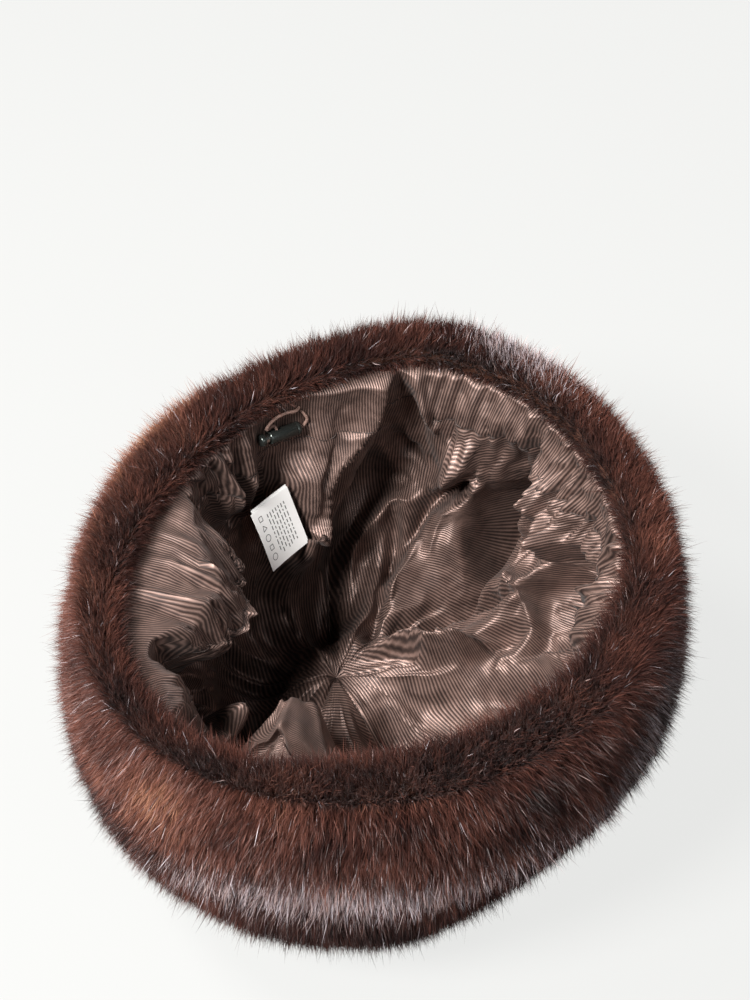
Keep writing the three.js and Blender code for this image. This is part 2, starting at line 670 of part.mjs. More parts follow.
// A folded tape seen from its end: two plies joined along the sewn edge, the front one wider.
function careLabel() {
  const { width, height, ply, room, sewn, step } = LABEL;
  const shape = new THREE.Shape();
  shape.moveTo(0, 0);
  shape.lineTo(width, 0);
  shape.lineTo(width, ply);
  shape.lineTo(sewn, ply);
  shape.lineTo(sewn, ply + room);
  shape.lineTo(width - step, ply + room);
  shape.lineTo(width - step, 2 * ply + room);
  shape.lineTo(0, 2 * ply + room);
  const geometry = new THREE.ExtrudeGeometry(shape, { depth: height, bevelEnabled: false });
  const across = LABEL_ACROSS.clone().normalize();
  const away = LABEL_DOWN.clone().cross(across).normalize();
  const down = across.clone().cross(away);
  const place = new THREE.Matrix4().makeBasis(across, away, down);
  return geometry.applyMatrix4(place.setPosition(centred(LABEL_CORNER)));
}

function piece(name, geometry, look) {
  const mesh = new THREE.Mesh(geometry, new THREE.MeshStandardMaterial(look));
  mesh.name = name;
  return mesh;
}

const FUR_LOOK = { color: 0x4a2a20, roughness: 0.75, metalness: 0 };
const SATIN_LOOK = { color: 0x6b4a42, roughness: 0.4, metalness: 0, side: THREE.DoubleSide };
const METAL_LOOK = { color: 0x2a2e2c, roughness: 0.3, metalness: 0.9 };

const hat = new THREE.Group();
hat.add(piece("fur_band", furBand(), FUR_LOOK));
hat.add(piece("fur_crown", furCrown(), { ...FUR_LOOK, color: 0x38211b }));

const lining = new THREE.Group();
SEAM_ANGLES.forEach((angle, index) => {
  const next = index + 1 < SEAM_ANGLES.length ? SEAM_ANGLES[index + 1] : SEAM_ANGLES[0] + 360;
  lining.add(piece(`lining_gore_${index + 1}`, liningGore(angle, next), SATIN_LOOK));
});
lining.add(piece("drawcord_casing", drawcordCasing(), SATIN_LOOK));
hat.add(lining);

const closure = new THREE.Group();
closure.add(piece("drawcord", drawcord(), { color: 0x8a6a5e, roughness: 0.8, metalness: 0 }));
closure.add(piece("cord_eyelet", cordEyelet(), { color: 0x7a5a4e, roughness: 0.45, metalness: 0.2 }));
closure.add(onLock(piece("cord_lock_barrel", lockBarrel(), METAL_LOOK)));
closure.add(onLock(piece("cord_lock_button", lockButton(), METAL_LOOK)));
hat.add(closure);

hat.add(piece("care_label", careLabel(), { color: 0xe8e6e2, roughness: 0.5, metalness: 0 }));

export default hat;
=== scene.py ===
import math

import bpy
import numpy as np
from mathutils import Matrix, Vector


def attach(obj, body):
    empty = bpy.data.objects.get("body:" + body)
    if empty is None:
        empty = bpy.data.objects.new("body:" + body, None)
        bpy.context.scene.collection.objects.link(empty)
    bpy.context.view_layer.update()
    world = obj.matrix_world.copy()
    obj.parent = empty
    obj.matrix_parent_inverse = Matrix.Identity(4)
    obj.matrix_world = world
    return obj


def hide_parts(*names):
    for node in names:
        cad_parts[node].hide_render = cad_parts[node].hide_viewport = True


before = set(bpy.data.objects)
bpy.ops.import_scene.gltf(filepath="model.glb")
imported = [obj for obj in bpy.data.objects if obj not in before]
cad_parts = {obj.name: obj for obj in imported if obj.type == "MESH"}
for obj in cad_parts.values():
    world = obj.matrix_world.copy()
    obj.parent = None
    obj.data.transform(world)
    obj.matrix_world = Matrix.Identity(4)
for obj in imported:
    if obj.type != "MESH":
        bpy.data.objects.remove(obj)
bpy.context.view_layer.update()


def named_rows(columns, *lines):
    """A table as a list of rows, written with the columns' names first."""
    return [dict(zip(columns.split(), line)) for line in lines]


# Camera: its place, its degrees down from level and its lens
CAMERA_PLACE = (1.18, -404.87, 691.71)
CAMERA_DOWN = 52
CAMERA_LENS = 64.8
SENSOR_HEIGHT = 36

# Main form and places, as in the CAD model
RIM_HEIGHT = 150
LEAN = -7
CENTRE = (1.56, -4.05)
INNER_FACE = -1.3
CORD_HEIGHT = 133
CORD_RADIUS = 0.7
EYELET = {"angle": 110.2, "half_width": 1.7, "half_height": 2.9, "wire": 0.9}
SEAM_ANGLES = [5, 68, 122, 185, 245, 300]

# The rim seen from above, every 20 degrees: the fur's fullest radius, the lower crown's, the lining's edge
RIM = named_rows(
    "fur crown lip",
    (120, 116, 98),
    (121.5, 120, 98),
    (124, 123, 101),
    (127, 124, 104),
    (127, 122, 104),
    (118, 117, 95),
    (112, 114, 89),
    (115, 115, 87),
    (115, 116, 89),
    (117, 118, 95),
    (120, 120, 104),
    (121.5, 121, 107),
    (119, 119, 104),
    (117, 117, 95),
    (116, 115, 90),
    (116, 109, 88),
    (118, 108, 91),
    (119.5, 112, 94),
)

# The fur's outline from inside the lip, over its crest and down to the floor: height, the shares of the fur's
# and the lip's radii, and a distance added to them. A step is a place on it, counted in rows.
OUTLINE = named_rows(
    "height fur lip offset",
    (138.5, 0, 1, -1),
    (143, 0, 1, -2.6),
    (147.8, 0, 1, 0.5),
    (150, 0.5, 0.5, 0),
    (147.5, 0.76, 0.22, 0),
    (140, 0.96, 0.01, 0),
    (127, 0.995, 0, 0),
    (112, 1.015, 0, 0),
    (97, 1.025, 0, 0),
    (82, 1.025, 0, 0),
    (67, 1.01, 0, 0),
    (53, 0.985, 0, 0),
    (39, 0.945, 0, 0),
    (26, 0.885, 0, 0),
    (14, 0.79, 0, 0),
    (5, 0.67, 0, 0),
    (0, 0.55, 0, 0),
    (0, 0.3, 0, 0),
    (0, 0.02, 0, 0),
)
CREST = 3
CROWN_FROM = 50  # below the rim, where the crown's radius begins to take over
CROWN_FULL = 100

# The lining from its edge down to the centre: depth is 0 at the casing's lower end and 1 at the centre, and
# share is of the lip's radius. The last three heights are lower than the CAD model's, so the pit is deeper.
LINING_ROWS = named_rows(
    "depth height share",
    (-0.26, 141, 0.985),
    (-0.13, 129.5, 0.987),
    (0, 117.4, 0.99),
    (0.13, 105, 0.98),
    (0.26, 92, 0.965),
    (0.39, 80, 0.93),
    (0.52, 69, 0.86),
    (0.64, 60.5, 0.73),
    (0.76, 51, 0.55),
    (0.88, 44, 0.33),
    (1, 39, 0.022),
)
LINING_TOP = LINING_ROWS[0]["depth"]
LINING_CENTRE = (-12, 14)
DRIFT_FROM = 0.2
DRIFT_POWER = 1.5

# Broad folds, fuller than the CAD model's. Each pair is for the upper and the lower end: the fold's angle,
# its depth, its half widths in degrees before (towards smaller angles) and after it, and its rise. power is 2
# for a round swell and 4 for a pouch with steep sides.
FOLDS = {
    "lock_pouch": dict(
        at=(105, 116), depth=(0.02, 0.66), before=(17, 12), after=(16, 7), rise=(8, 30), power=3,
    ),
    "casing_panel": dict(
        at=(95, 96), depth=(-0.24, -0.1), before=(8, 9), after=(11, 12), rise=(5, 4), power=4,
    ),
    "crevice_by_pouch": dict(
        at=(88, 90), depth=(0.3, 0.86), before=(9, 14), after=(14, 20), rise=(-6, -26), power=2,
    ),
    "back_right_shelf": dict(
        at=(68, 65), depth=(-0.1, 0.22), before=(24, 21), after=(15, 15), rise=(6, 10), power=3,
    ),
    "back_panel_ridge": dict(
        at=(60, 74), depth=(0.2, 0.86), before=(9, 18), after=(12, 14), rise=(5, 12), power=2,
    ),
    "right_panel_ridge": dict(
        at=(36, 25), depth=(0, 0.6), before=(10, 12), after=(7, 9), rise=(9, 11), power=2,
    ),
    "centre_ridge": dict(
        at=(15, 356), depth=(0.48, 0.9), before=(14, 26), after=(18, 26), rise=(8, 12), power=2,
    ),
    "right_pouch": dict(
        at=(348, 348), depth=(-0.1, 0.5), before=(10, 11), after=(12, 14), rise=(10, 8), power=3,
    ),
    "front_right_pouch": dict(
        at=(318, 322), depth=(0, 0.5), before=(13, 12), after=(12, 10), rise=(9, 5), power=2,
    ),
    "front_basin": dict(
        at=(300, 322), depth=(0.55, 0.86), before=(20, 30), after=(20, 28), rise=(-12, -22), power=3,
    ),
    "front_bulge": dict(
        at=(252, 246), depth=(0.06, 0.725), before=(15, 27), after=(14, 24), rise=(26, 46), power=2.5,
    ),
    "front_left_crevice": dict(
        at=(226, 214), depth=(0.6, 0.9), before=(6, 10), after=(5, 9), rise=(-6, -20), power=2,
    ),
    "left_lower_pouch": dict(
        at=(214, 217), depth=(-0.16, 0.5), before=(8, 10), after=(10, 11), rise=(16, 32), power=3,
    ),
    "left_pouch": dict(
        at=(180, 177), depth=(-0.2, 0.03), before=(19, 22), after=(21, 23), rise=(34, 45), power=2.6,
    ),
    "pit": dict(at=(140, 172), depth=(0.74, 0.88), before=(46, 70), after=(40, 60), rise=(-22, -30), power=3),
}
FOLD_FADE = 0.09  # past a fold's ends, in depth

# Creases on top of them. Each runs through (angle, depth) points. rise is its height, below 0 for a valley,
# and left and right are its half widths, as seen from inside the hat when following the run. All rises are
# multiplied by CREASE_HEIGHT and all half widths by CREASE_SPREAD.
CREASES = {
    "lock_pouch_edge": dict(
        rise=7, left=2.2, right=7,
        run=[
            (87, -0.27), (89, -0.14), (92, -0.04), (97, 0.04), (102, 0.1),
            (107, 0.2), (109, 0.4), (112, 0.55), (117, 0.7),
        ],
    ),
    "lock_pouch_fold": dict(
        rise=4, left=7, right=2.4, run=[(113, 0.08), (117, 0.16), (117, 0.3), (115, 0.5), (113, 0.62)],
    ),
    "lock_pouch_inner": dict(
        rise=4.2, left=3, right=4, run=[(104, -0.04), (107, 0.03), (111, 0.12), (113, 0.25)],
    ),
    "left_pouch_edge": dict(
        rise=11.9, left=2.6, right=9,
        run=[
            (158, -0.1), (153, 0.05), (148, 0.17), (143, 0.31),
            (143, 0.44), (150, 0.58), (161, 0.66), (172, 0.68),
        ],
    ),
    "left_pouch_flap": dict(rise=6, left=1.8, right=5, run=[(150, 0.4), (154, 0.5), (159, 0.6), (168, 0.66)]),
    "left_overlap": dict(
        rise=10.2, left=8, right=2.2,
        run=[(198, -0.12), (195, 0.04), (192, 0.2), (191, 0.38), (195, 0.54), (199, 0.66)],
    ),
    "lower_left_fold": dict(
        rise=8.5, left=3, right=8, run=[(200, 0.7), (209, 0.75), (214, 0.66), (222, 0.5)],
    ),
    "front_bulge_fold": dict(
        rise=5.1, left=7, right=3.5, run=[(236, 0.86), (247, 0.84), (256, 0.8), (263, 0.7), (266, 0.55)],
    ),
    "front_bulge_pleat": dict(rise=3.4, left=4, right=4, run=[(246, 0.78), (247, 0.6), (250, 0.4)]),
    "back_lobe_edge": dict(
        rise=11, left=6, right=1.8,
        run=[(80, 0.52), (82, 0.56), (87, 0.64), (92, 0.72), (93, 0.84), (91, 0.93)],
    ),
    "back_lobe_crease": dict(
        rise=-9, left=3, right=3, run=[(80, 0.58), (76, 0.72), (73, 0.82), (64, 0.9), (48, 0.95)],
    ),
    "back_hollow": dict(rise=-6, left=5, right=5, run=[(84, 0.2), (80, 0.29), (74, 0.31)]),
    "back_valley": dict(
        rise=-12, left=3, right=5,
        run=[(60, 0.24), (62, 0.33), (66, 0.45), (70, 0.55), (71, 0.65), (73, 0.75)],
    ),
    "back_valley_rim": dict(
        rise=5, left=3, right=6, run=[(62, 0.12), (64, 0.2), (68, 0.35), (71, 0.51), (73, 0.63), (76, 0.71)],
    ),
    "dent_left_rim": dict(
        rise=8, left=5, right=9, run=[(60, 0.3), (60, 0.49), (53, 0.62), (43, 0.67), (35, 0.68)],
    ),
    "dent": dict(
        rise=-19, left=2.4, right=10,
        run=[(48, 0.14), (47, 0.36), (45, 0.5), (40, 0.6), (36, 0.7), (35, 0.78)],
    ),
    "dent_right_rim": dict(
        rise=8, left=5, right=2.2, run=[(40, 0.03), (39, 0.22), (37, 0.41), (32, 0.55), (28, 0.62)],
    ),
    "panel_crease": dict(rise=-5, left=1.6, right=2.5, run=[(36, 0.34), (34, 0.47), (31, 0.56), (27, 0.64)]),
    "panel_edge": dict(
        rise=7, left=2, right=7, run=[(25, 0.12), (24, 0.3), (22, 0.44), (23, 0.56), (27, 0.62)],
    ),
    "right_facet": dict(rise=-8, left=6, right=7, run=[(18, 0.16), (18, 0.3), (16, 0.46)]),
    "right_pinch": dict(rise=-6, left=3, right=4, run=[(46, -0.13), (46, 0.05), (44, 0.17)]),
    "right_wall_crease": dict(rise=-5, left=2, right=4, run=[(29, 0.25), (24, 0.24), (16, 0.16)]),
    "almond_ridge": dict(rise=7, left=3, right=4, run=[(18, 0.8), (15, 0.69), (16, 0.62), (19, 0.54)]),
    "almond_hollow": dict(rise=-8, left=5, right=2, run=[(30, 0.78), (29, 0.72), (25, 0.65), (24, 0.58)]),
    "shaded_triangle": dict(rise=-8, left=4, right=5, run=[(45, 0.88), (34, 0.86), (25, 0.83)]),
    "bottom_ridge": dict(
        rise=14, left=6, right=2, run=[(42, 0.95), (23, 0.91), (5, 0.86), (1, 0.78), (4, 0.74)],
    ),
    "bottom_ridge_return": dict(rise=5, left=3, right=3, run=[(4, 0.74), (12, 0.79), (22, 0.81), (30, 0.77)]),
    "right_fold_down": dict(rise=6.8, left=2, right=6, run=[(20, 0.5), (12, 0.55), (4, 0.6), (359, 0.66)]),
    "right_wall_fold": dict(
        rise=6.8, left=2.4, right=5, run=[(41, -0.02), (33, 0.1), (25, 0.13), (22, 0.26), (22, 0.4)],
    ),
    "right_wall_branch": dict(rise=6, left=5, right=2, run=[(26, 0.13), (19, 0.08), (12, 0.03)]),
    "right_low_shadow": dict(rise=-8.5, left=3, right=4, run=[(349, 0.72), (347, 0.6), (346, 0.48)]),
    "right_low_puff": dict(rise=6.8, left=4, right=5, run=[(356, 0.68), (355, 0.52), (354, 0.36)]),
    "front_right_fold": dict(rise=4.2, left=5, right=5, run=[(330, 0.9), (325, 0.78), (322, 0.62)]),
    "centre_curl": dict(rise=5.1, left=2, right=3, run=[(138, 0.86), (131, 0.9), (122, 0.94), (100, 0.975)]),
    "wall_left_fold_a": dict(rise=5.1, left=4, right=3, run=[(129, -0.16), (130, 0.02), (132, 0.2)]),
    "wall_left_fold_b": dict(rise=4.4, left=3, right=4, run=[(138, -0.16), (138, 0), (140, 0.16)]),
    "back_top_fold": dict(rise=5.1, left=3, right=4, run=[(80, -0.24), (78, -0.1), (74, 0.02)]),
    "back_top_shade": dict(rise=-5.1, left=5, right=4, run=[(83, -0.1), (80, 0.06), (76, 0.2), (72, 0.3)]),
}
CREASE_SPREAD = 1.2
CREASE_HEIGHT = 1.5

# Gathers in and below the casing, small rumples below it, and waves on the tops of the pouches. GATHERS has
# the share of the gathers' height at some angles.
PUFFS = 70
PUFF_RISE = 7.5
RUFFLE_RISE = 2.2
SOFT_RISE = 2.6
SOFT_FINE_RISE = 1.2
RUMPLE_RISE = 2.4
LEDGE_WAVE = 3.4
GATHERS = {
    0: 1.1, 44: 1.1, 54: 0.55, 80: 0.6, 88: 0, 124: 0.1, 136: 0.9, 158: 0.9, 170: 0.5, 190: 0.4,
    230: 0.6, 256: 0.35, 285: 0.7, 320: 0.9, 360: 1.1,
}
CHANNEL_DEPTH = -0.03  # the sewn line below the casing
CHANNEL_HALF_WIDTH = 0.014
EDGE_TUCK = 4  # how far the upper edge turns in behind the lip
EDGE_WAVE = 1.2
SEAM_PUCKER = 1.1
SEAM_HALF_WIDTH = 1.3
LINING_RADIUS = 90  # about, at the casing
STITCH_COLUMNS = 3
STITCH_RISE = 0.35
STITCH_RADIUS = 0.22

# Lining mesh, the cloth simulation that settles it, and the twill, with its own slant on each gore
LINING_COLUMNS = 480
LINING_LINES = 150
LINING_END = 0.99
CENTRE_CLOSING = [0.6, 0.3, 0.01]
CENTRE_DROP = 1.5
SETTLE_COLUMNS = 240
SETTLE_LINES = 75
SETTLE_FRAMES = 22
SETTLE_CAP = 4.5
SETTLE_GRAVITY = 0.25
SETTLE_HOLD = 0.06
SETTLE_CLOTH = {
    "quality": 6,
    "mass": 0.12,
    "tension_stiffness": 18,
    "compression_stiffness": 12,
    "shear_stiffness": 6,
    "bending_stiffness": 0.25,
    "shrink_min": -0.05,
    "vertex_group_mass": "held",
    "pin_stiffness": 1.0,
}
TWILL_PITCH = 1.08
GORE_SLANTS = [25, 58, 12, 42, 100, 100]
CASING_SLANT = 7
GORE_MIDDLE = 0.5

# Fur: each blade is one hair or a few that cling together. lean is its turn from upright, on the outside
# towards the crown. SKIN_UNDER is how far under the outline hairs start. The skin lies SKIN_LIFT above that.
SKIN_UNDER = 7
SKIN_UNDER_INSIDE = 1.6
SKIN_LIFT = 0.8
SKIN_LUMPS = 0.9
SKIN_LOWEST = 1.2
FUR_COLUMNS = 220
FUR_ROWS = 110
FUR_RADIUS = 115
FUR_PARTS = {
    "fur_under_a": dict(count=188000, length=7.4, width=0.38, lean=18, clump=0.55, steps=1, seed=11),
    "fur_under_b": dict(count=188000, length=8.2, width=0.33, lean=16, clump=0.45, steps=1, seed=12),
    "fur_guard_a": dict(count=62000, length=9.8, width=0.26, lean=24, clump=0.35, steps=2, seed=13),
    "fur_guard_b": dict(count=62000, length=11, width=0.2, lean=22, clump=0.2, steps=2, seed=14),
}
LONG_HAIRS = 0.06
LONG_HAIR_REACH = 1.28
HAIR_TOP = 154  # hairs are held down above this height
HAIR_TOP_ROOM = 6
HAIR_LOWEST = 0.3
CLUMP = {"size": 4.2, "seed": 31}
WIDE_CLUMP = {"size": 12, "seed": 32}
WIDE_CLUMP_PULL = 0.12
STEP_LENGTH = 14  # between neighbouring rows of OUTLINE, about
LAY_TURN = 30
LAY_SPREAD = 26
TILT_SPREAD = 11
TILT_INSIDE = 14
HAIR_BEND = 0.11

# Tone of the fur, from 0, near black, through mahogany to 0.8, golden; 1 is grey, for stray hairs and painted
# sheen. The patches are places that differ: angle, step, spread in degrees and in steps, and change of tone.
# The golden and dark back ones are the fur's own colour. Those that lighten the crest at the left, back right
# and front are painted light, and those that darken the front low down are painted shade. The darkening
# inside the lip is painted shade beside the lining.
MEAN_TONE = 0.4
DARKEST, GOLDEN = 0.02, 0.8
CROWN_DARKER = 0.2
LIP_PAINTED_SHADE = 0.12
TONE_PATCHES_AND_PAINTED_LIGHT = {
    "golden_back_left": dict(at=142, step=4.2, wide=15, high=1.3, tone=0.26),
    "golden_front_left": dict(at=232, step=6, wide=10, high=1.4, tone=0.28),
    "dark_back_left": dict(at=125, step=4.5, wide=7, high=1.6, tone=-0.2),
    "dark_back": dict(at=78, step=4, wide=10, high=1.6, tone=-0.16),
    # Painted light on the crest, where the hair catches the lamps
    "painted_light_left": dict(at=172, step=2.9, wide=30, high=1.3, tone=0.2),
    "painted_light_back_right": dict(at=22, step=2.7, wide=24, high=1, tone=0.1),
    "painted_light_front": dict(at=258, step=3.4, wide=40, high=1, tone=0.08),
    # Painted shade low on the front, which faces away from the lamps
    "painted_shade_front": dict(at=282, step=5, wide=36, high=2.2, tone=-0.13),
    "painted_shade_right_front": dict(at=325, step=6.5, wide=25, high=3, tone=-0.16),
}

# The band low on the front and the patch at the back are painted sheen: their hairs take the grey tone in
# place of light glancing off the fur. Stray grey hairs are the fur's own. Each has its share of grey hairs.
PAINTED_SHEEN_BAND = named_rows(
    "angle step share",
    (216, 10.6, 0),
    (228, 9.4, 0.12),
    (240, 8.6, 0.45),
    (256, 8.1, 0.65),
    (272, 8, 0.72),
    (290, 8, 0.42),
    (315, 7.9, 0.25),
    (325, 6.9, 0.45),
    (334, 6, 0.35),
    (350, 5, 0),
)
PAINTED_SHEEN_HALF_WIDTH = 0.7
PAINTED_SHEEN_PATCH = {"at": 58, "step": 3, "wide": 11, "high": 0.9, "share": 0.75}
STRAY_SILVER = 0.012

# Cord lock, and the eyelet's ring: the radius of its wire and how far it stands into the opening
EYELET_TUBE = 0.5
EYELET_LIFT = 0.75
LOCK_BLIND_END = (-31.6, 80.0, 125)
LOCK_BUTTON_END = (-47.4, 68.6, 129.6)
BARREL = {"length": 15.5, "radius": 2.9, "bore": 2.15, "blind": 1.5, "hole": 1.05}
BUTTON = {"radius": 2.5, "stem": 1.8, "start": 5.6, "travel": 2, "gap": 0.3}
SLOT = {"middle": 11, "length": 4.2, "width": 2.3, "reach": 5}
TURNED_SIDES = 56
METAL_BEND = 40  # edges sharper than this stay sharp
UPPER_AT_LOCK = [(-2.3, 0), (1.4, 0), (3.2, 0.5), (4.6, 1.7)]
UPPER_STRAND = named_rows(
    "angle offset height",
    (121.3, -4.8, 133.2),
    (120.2, -4.6, 135.4),
    (117.6, -4.4, 136.6),
    (114.6, -4.2, 136),
    (112.3, -4.4, 134.9),
    (110.9, -3.7, 134.15),
    (110.3, -2.4, 133.95),
    (110.2, -1.4, 133.95),
    (110.2, -0.5, 133.95),
    (109.9, 0.4, 133.95),
)
LOWER_STRAND = named_rows(
    "angle offset height",
    (110.5, 0.4, 132.05),
    (110.2, -0.5, 132.05),
    (110.1, -1.6, 132.05),
    (109.8, -3, 131.75),
    (108.9, -4.5, 129.9),
    (108.4, -5.4, 127.6),
)
LOWER_AT_LOCK = [(2.3, 0.5), (1, 0), (-2, 0)]

# Care label
LABEL_SIZE = (24, 27)
LABEL_CORNER = (-37.4, 66.2, 103.3)
LABEL_ACROSS = (-0.647, -0.747, 0.151)
LABEL_DOWN = (0.323, -0.449, -0.833)
LABEL_THICKNESS = 0.22
LABEL_BACK_SIZE = (22, 27.5)
LABEL_BACK_SHIFT = (0, 0, 1.2)
MARK_ROWS = 7
SIGN_SIDES = (4, 3, 12, 4, 12)

# Stage and lights: each light's place and aim, its size in metres, its power in watts and its colour
FLOOR_HALF_SIZE = 12000
FLOOR_HEIGHT = -0.4
WORLD_STRENGTH = 0.032
WARM, COOL = (1, 0.985, 0.965), (0.97, 0.98, 1)
LIGHTS = {
    "key": dict(at=(-540, -430, 1000), aim=(0, 0, 80), size=0.34, power=33, colour=WARM),
    "window": dict(at=(-660, 220, 1120), aim=(0, 0, 80), size=0.34, power=22, colour=WARM),
    "fill": dict(at=(620, -780, 860), aim=(0, 0, 90), size=0.9, power=5, colour=COOL),
    "back_fill": dict(at=(950, 750, 330), aim=(0, 0, 60), size=0.8, power=8, colour=COOL),
}


# Camera
def make_camera():
    data = bpy.data.cameras.new("camera")
    data.lens = CAMERA_LENS
    data.sensor_fit = "VERTICAL"
    data.sensor_height = SENSOR_HEIGHT
    camera = bpy.data.objects.new("camera", data)
    camera.location = Vector(CAMERA_PLACE) / 1000
    camera.rotation_euler = (math.radians(90 - CAMERA_DOWN), 0, 0)
    bpy.context.scene.collection.objects.link(camera)
    bpy.context.scene.camera = camera


make_camera()


# Curves and noise
def catmull(a, b, c, d, t):
    return b + 0.5 * t * (c - a + t * (2 * a - 5 * b + 4 * c - d + t * (3 * b - a - 3 * c + d)))


def rim(angle, column):
    values = np.array([row[column] for row in RIM], float)
    place = np.mod(angle, 360) / 360 * len(RIM)
    row = np.floor(place).astype(int)
    at = [values[np.mod(row + step, len(RIM))] for step in (-1, 0, 1, 2)]
    return catmull(*at, place - row)


def between(table, step, column):
    values = np.array([row[column] for row in table], float)
    last = len(table) - 1
    row = np.clip(np.floor(step).astype(int), 0, last - 1)
    at = [values[np.clip(row + shift, 0, last)] for shift in (-1, 0, 1, 2)]
    return catmull(*at, step - row)


def smoothstep(low, high, x):
    t = np.clip((x - low) / (high - low), 0, 1)
    return t * t * (3 - 2 * t)


def turn_between(angle, other):
    """The shortest turn from the other angle, from -180 to 180 degrees."""
    return np.mod(angle - other + 180, 360) - 180


def noise(x, y, wrap, seed):
    """Smooth noise from -1 to 1. x repeats after wrap cells."""
    lattice = np.random.default_rng(seed).uniform(-1, 1, (wrap, 256))
    column, row = np.floor(x).astype(int), np.floor(y).astype(int)
    tx, ty = x - column, y - row
    tx, ty = tx * tx * (3 - 2 * tx), ty * ty * (3 - 2 * ty)

    def at(i, j):
        return lattice[(column + i) % wrap, (row + j) % 256]

    upper = at(0, 0) * (1 - tx) + at(1, 0) * tx
    lower = at(0, 1) * (1 - tx) + at(1, 1) * tx
    return upper * (1 - ty) + lower * ty


def unit(vectors):
    return vectors / np.maximum(np.linalg.norm(vectors, axis=-1, keepdims=True), 1e-9)


def place(angle, radius, height):
    """A point at an angle, radius and height, with the hat's lean."""
    x = radius * np.cos(np.radians(angle)) + LEAN * (1 - height / RIM_HEIGHT) + CENTRE[0]
    y = radius * np.sin(np.radians(angle)) + CENTRE[1]
    return np.stack([x, y, height + 0 * x], -1)


def near_lip(angle, offset, height):
    angle = np.asarray(angle, float)
    return place(angle, rim(angle, "lip") + offset, np.asarray(height, float))


# Meshes
def make_mesh(name, points, faces, uv=None, smooth=True):
    """A mesh from points in millimetres and faces with the same number of corners."""
    faces = np.asarray(faces, np.int32)
    mesh = bpy.data.meshes.new(name)
    mesh.vertices.add(len(points))
    mesh.vertices.foreach_set("co", (np.asarray(points) / 1000).astype(np.float32).ravel())
    mesh.loops.add(faces.size)
    mesh.loops.foreach_set("vertex_index", faces.ravel())
    mesh.polygons.add(len(faces))
    mesh.polygons.foreach_set("loop_start", np.arange(len(faces), dtype=np.int32) * faces.shape[1])
    mesh.polygons.foreach_set("use_smooth", np.full(len(faces), smooth))
    if uv is not None:
        add_uv(mesh, "OFBake", uv[faces.ravel()])
    mesh.update(calc_edges=True)
    piece = bpy.data.objects.new(name, mesh)
    bpy.context.scene.collection.objects.link(piece)
    return piece


def add_uv(mesh, name, per_corner):
    layer = mesh.uv_layers.new(name=name)
    layer.data.foreach_set("uv", np.asarray(per_corner, np.float32).ravel())


def grid_faces(rows, columns, closed):
    """Quads between rows of points; closed joins each row's end to its start."""
    across = columns if closed else columns - 1
    row, column = np.meshgrid(np.arange(rows - 1), np.arange(across), indexing="ij")
    after = (column + 1) % columns
    upper, lower = row * columns, (row + 1) * columns
    corners = [upper + column, upper + after, lower + after, lower + column]
    return np.stack(corners, -1).reshape(-1, 4)


def ride(piece, slot, *nodes, body="hat"):
    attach(piece, body)
    if nodes:
        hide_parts(*nodes)
    return piece


# Materials
def new_material(name, **sockets):
    material = bpy.data.materials.new(name)
    material.use_nodes = True
    shader = material.node_tree.nodes["Principled BSDF"]
    for socket, value in sockets.items():
        shader.inputs[socket.replace("_", " ")].default_value = value
    return material, shader


def add_node(material, kind, settings=None, **sockets):
    """A node with values or links on its inputs, which are named, or numbered as i0, i1 and so on."""
    node = material.node_tree.nodes.new("ShaderNode" + kind)
    for key, value in (settings or {}).items():
        setattr(node, key, value)
    for socket, value in sockets.items():
        index = int(socket[1:]) if socket[1:].isdigit() else socket.replace("_", " ")
        target = node.inputs[index]
        if isinstance(value, bpy.types.NodeSocket):
            material.node_tree.links.new(value, target)
        else:
            target.default_value = value
    return node


def math_node(material, operation, *values):
    sockets = {f"i{index}": value for index, value in enumerate(values)}
    return add_node(material, "Math", {"operation": operation}, **sockets).outputs[0]


def ramp(material, factor, stops):
    node = add_node(material, "ValToRGB", Fac=factor)
    elements = node.color_ramp.elements
    while len(elements) < len(stops):
        elements.new(0.5)
    for element, (position, colour) in zip(elements, stops):
        element.position = position
        element.color = (*colour, 1)
    return node.outputs[0]


def link(material, output, target):
    material.node_tree.links.new(output, target)


def own_map(material, name):
    """The two axes of one of the piece's own maps."""
    found = add_node(material, "UVMap", {"uv_map": name})
    axes = add_node(material, "SeparateXYZ", Vector=found.outputs[0]).outputs
    return axes[0], axes[1]


def fur_material():
    """Its map's first axis is the hair's tone and the second runs from root to tip."""
    material, shader = new_material(
        "mink", Roughness=0.42, Specular_IOR_Level=0.2, Sheen_Weight=0.05, Sheen_Roughness=0.5
    )
    tones, root_to_tip = own_map(material, "OFBake")
    tone = ramp(
        material,
        tones,
        [
            (0.0, (0.009, 0.004, 0.004)),
            (0.2, (0.030, 0.010, 0.008)),
            (0.4, (0.078, 0.026, 0.018)),
            (0.6, (0.150, 0.056, 0.038)),
            (0.8, (0.310, 0.145, 0.080)),
            (1.0, (0.450, 0.420, 0.465)),
        ],
    )
    # Hairs darken towards the root: painted shade deep in the coat, on top of each hair's tone
    along = add_node(material, "MapRange", Value=root_to_tip, To_Min=0.4, To_Max=1.12).outputs[0]
    shade = add_node(material, "VectorMath", {"operation": "SCALE"}, i0=tone, Scale=along)
    link(material, shade.outputs[0], shader.inputs["Base Color"])
    return material


def skin_material():
    material, shader = new_material("fur_roots", Roughness=0.8, Specular_IOR_Level=0.1)
    grain = add_node(material, "TexNoise", Scale=900.0, Detail=3.0)
    colour = ramp(material, grain.outputs[0], [(0.3, (0.022, 0.009, 0.006)), (0.75, (0.060, 0.024, 0.015))])
    link(material, colour, shader.inputs["Base Color"])
    return material


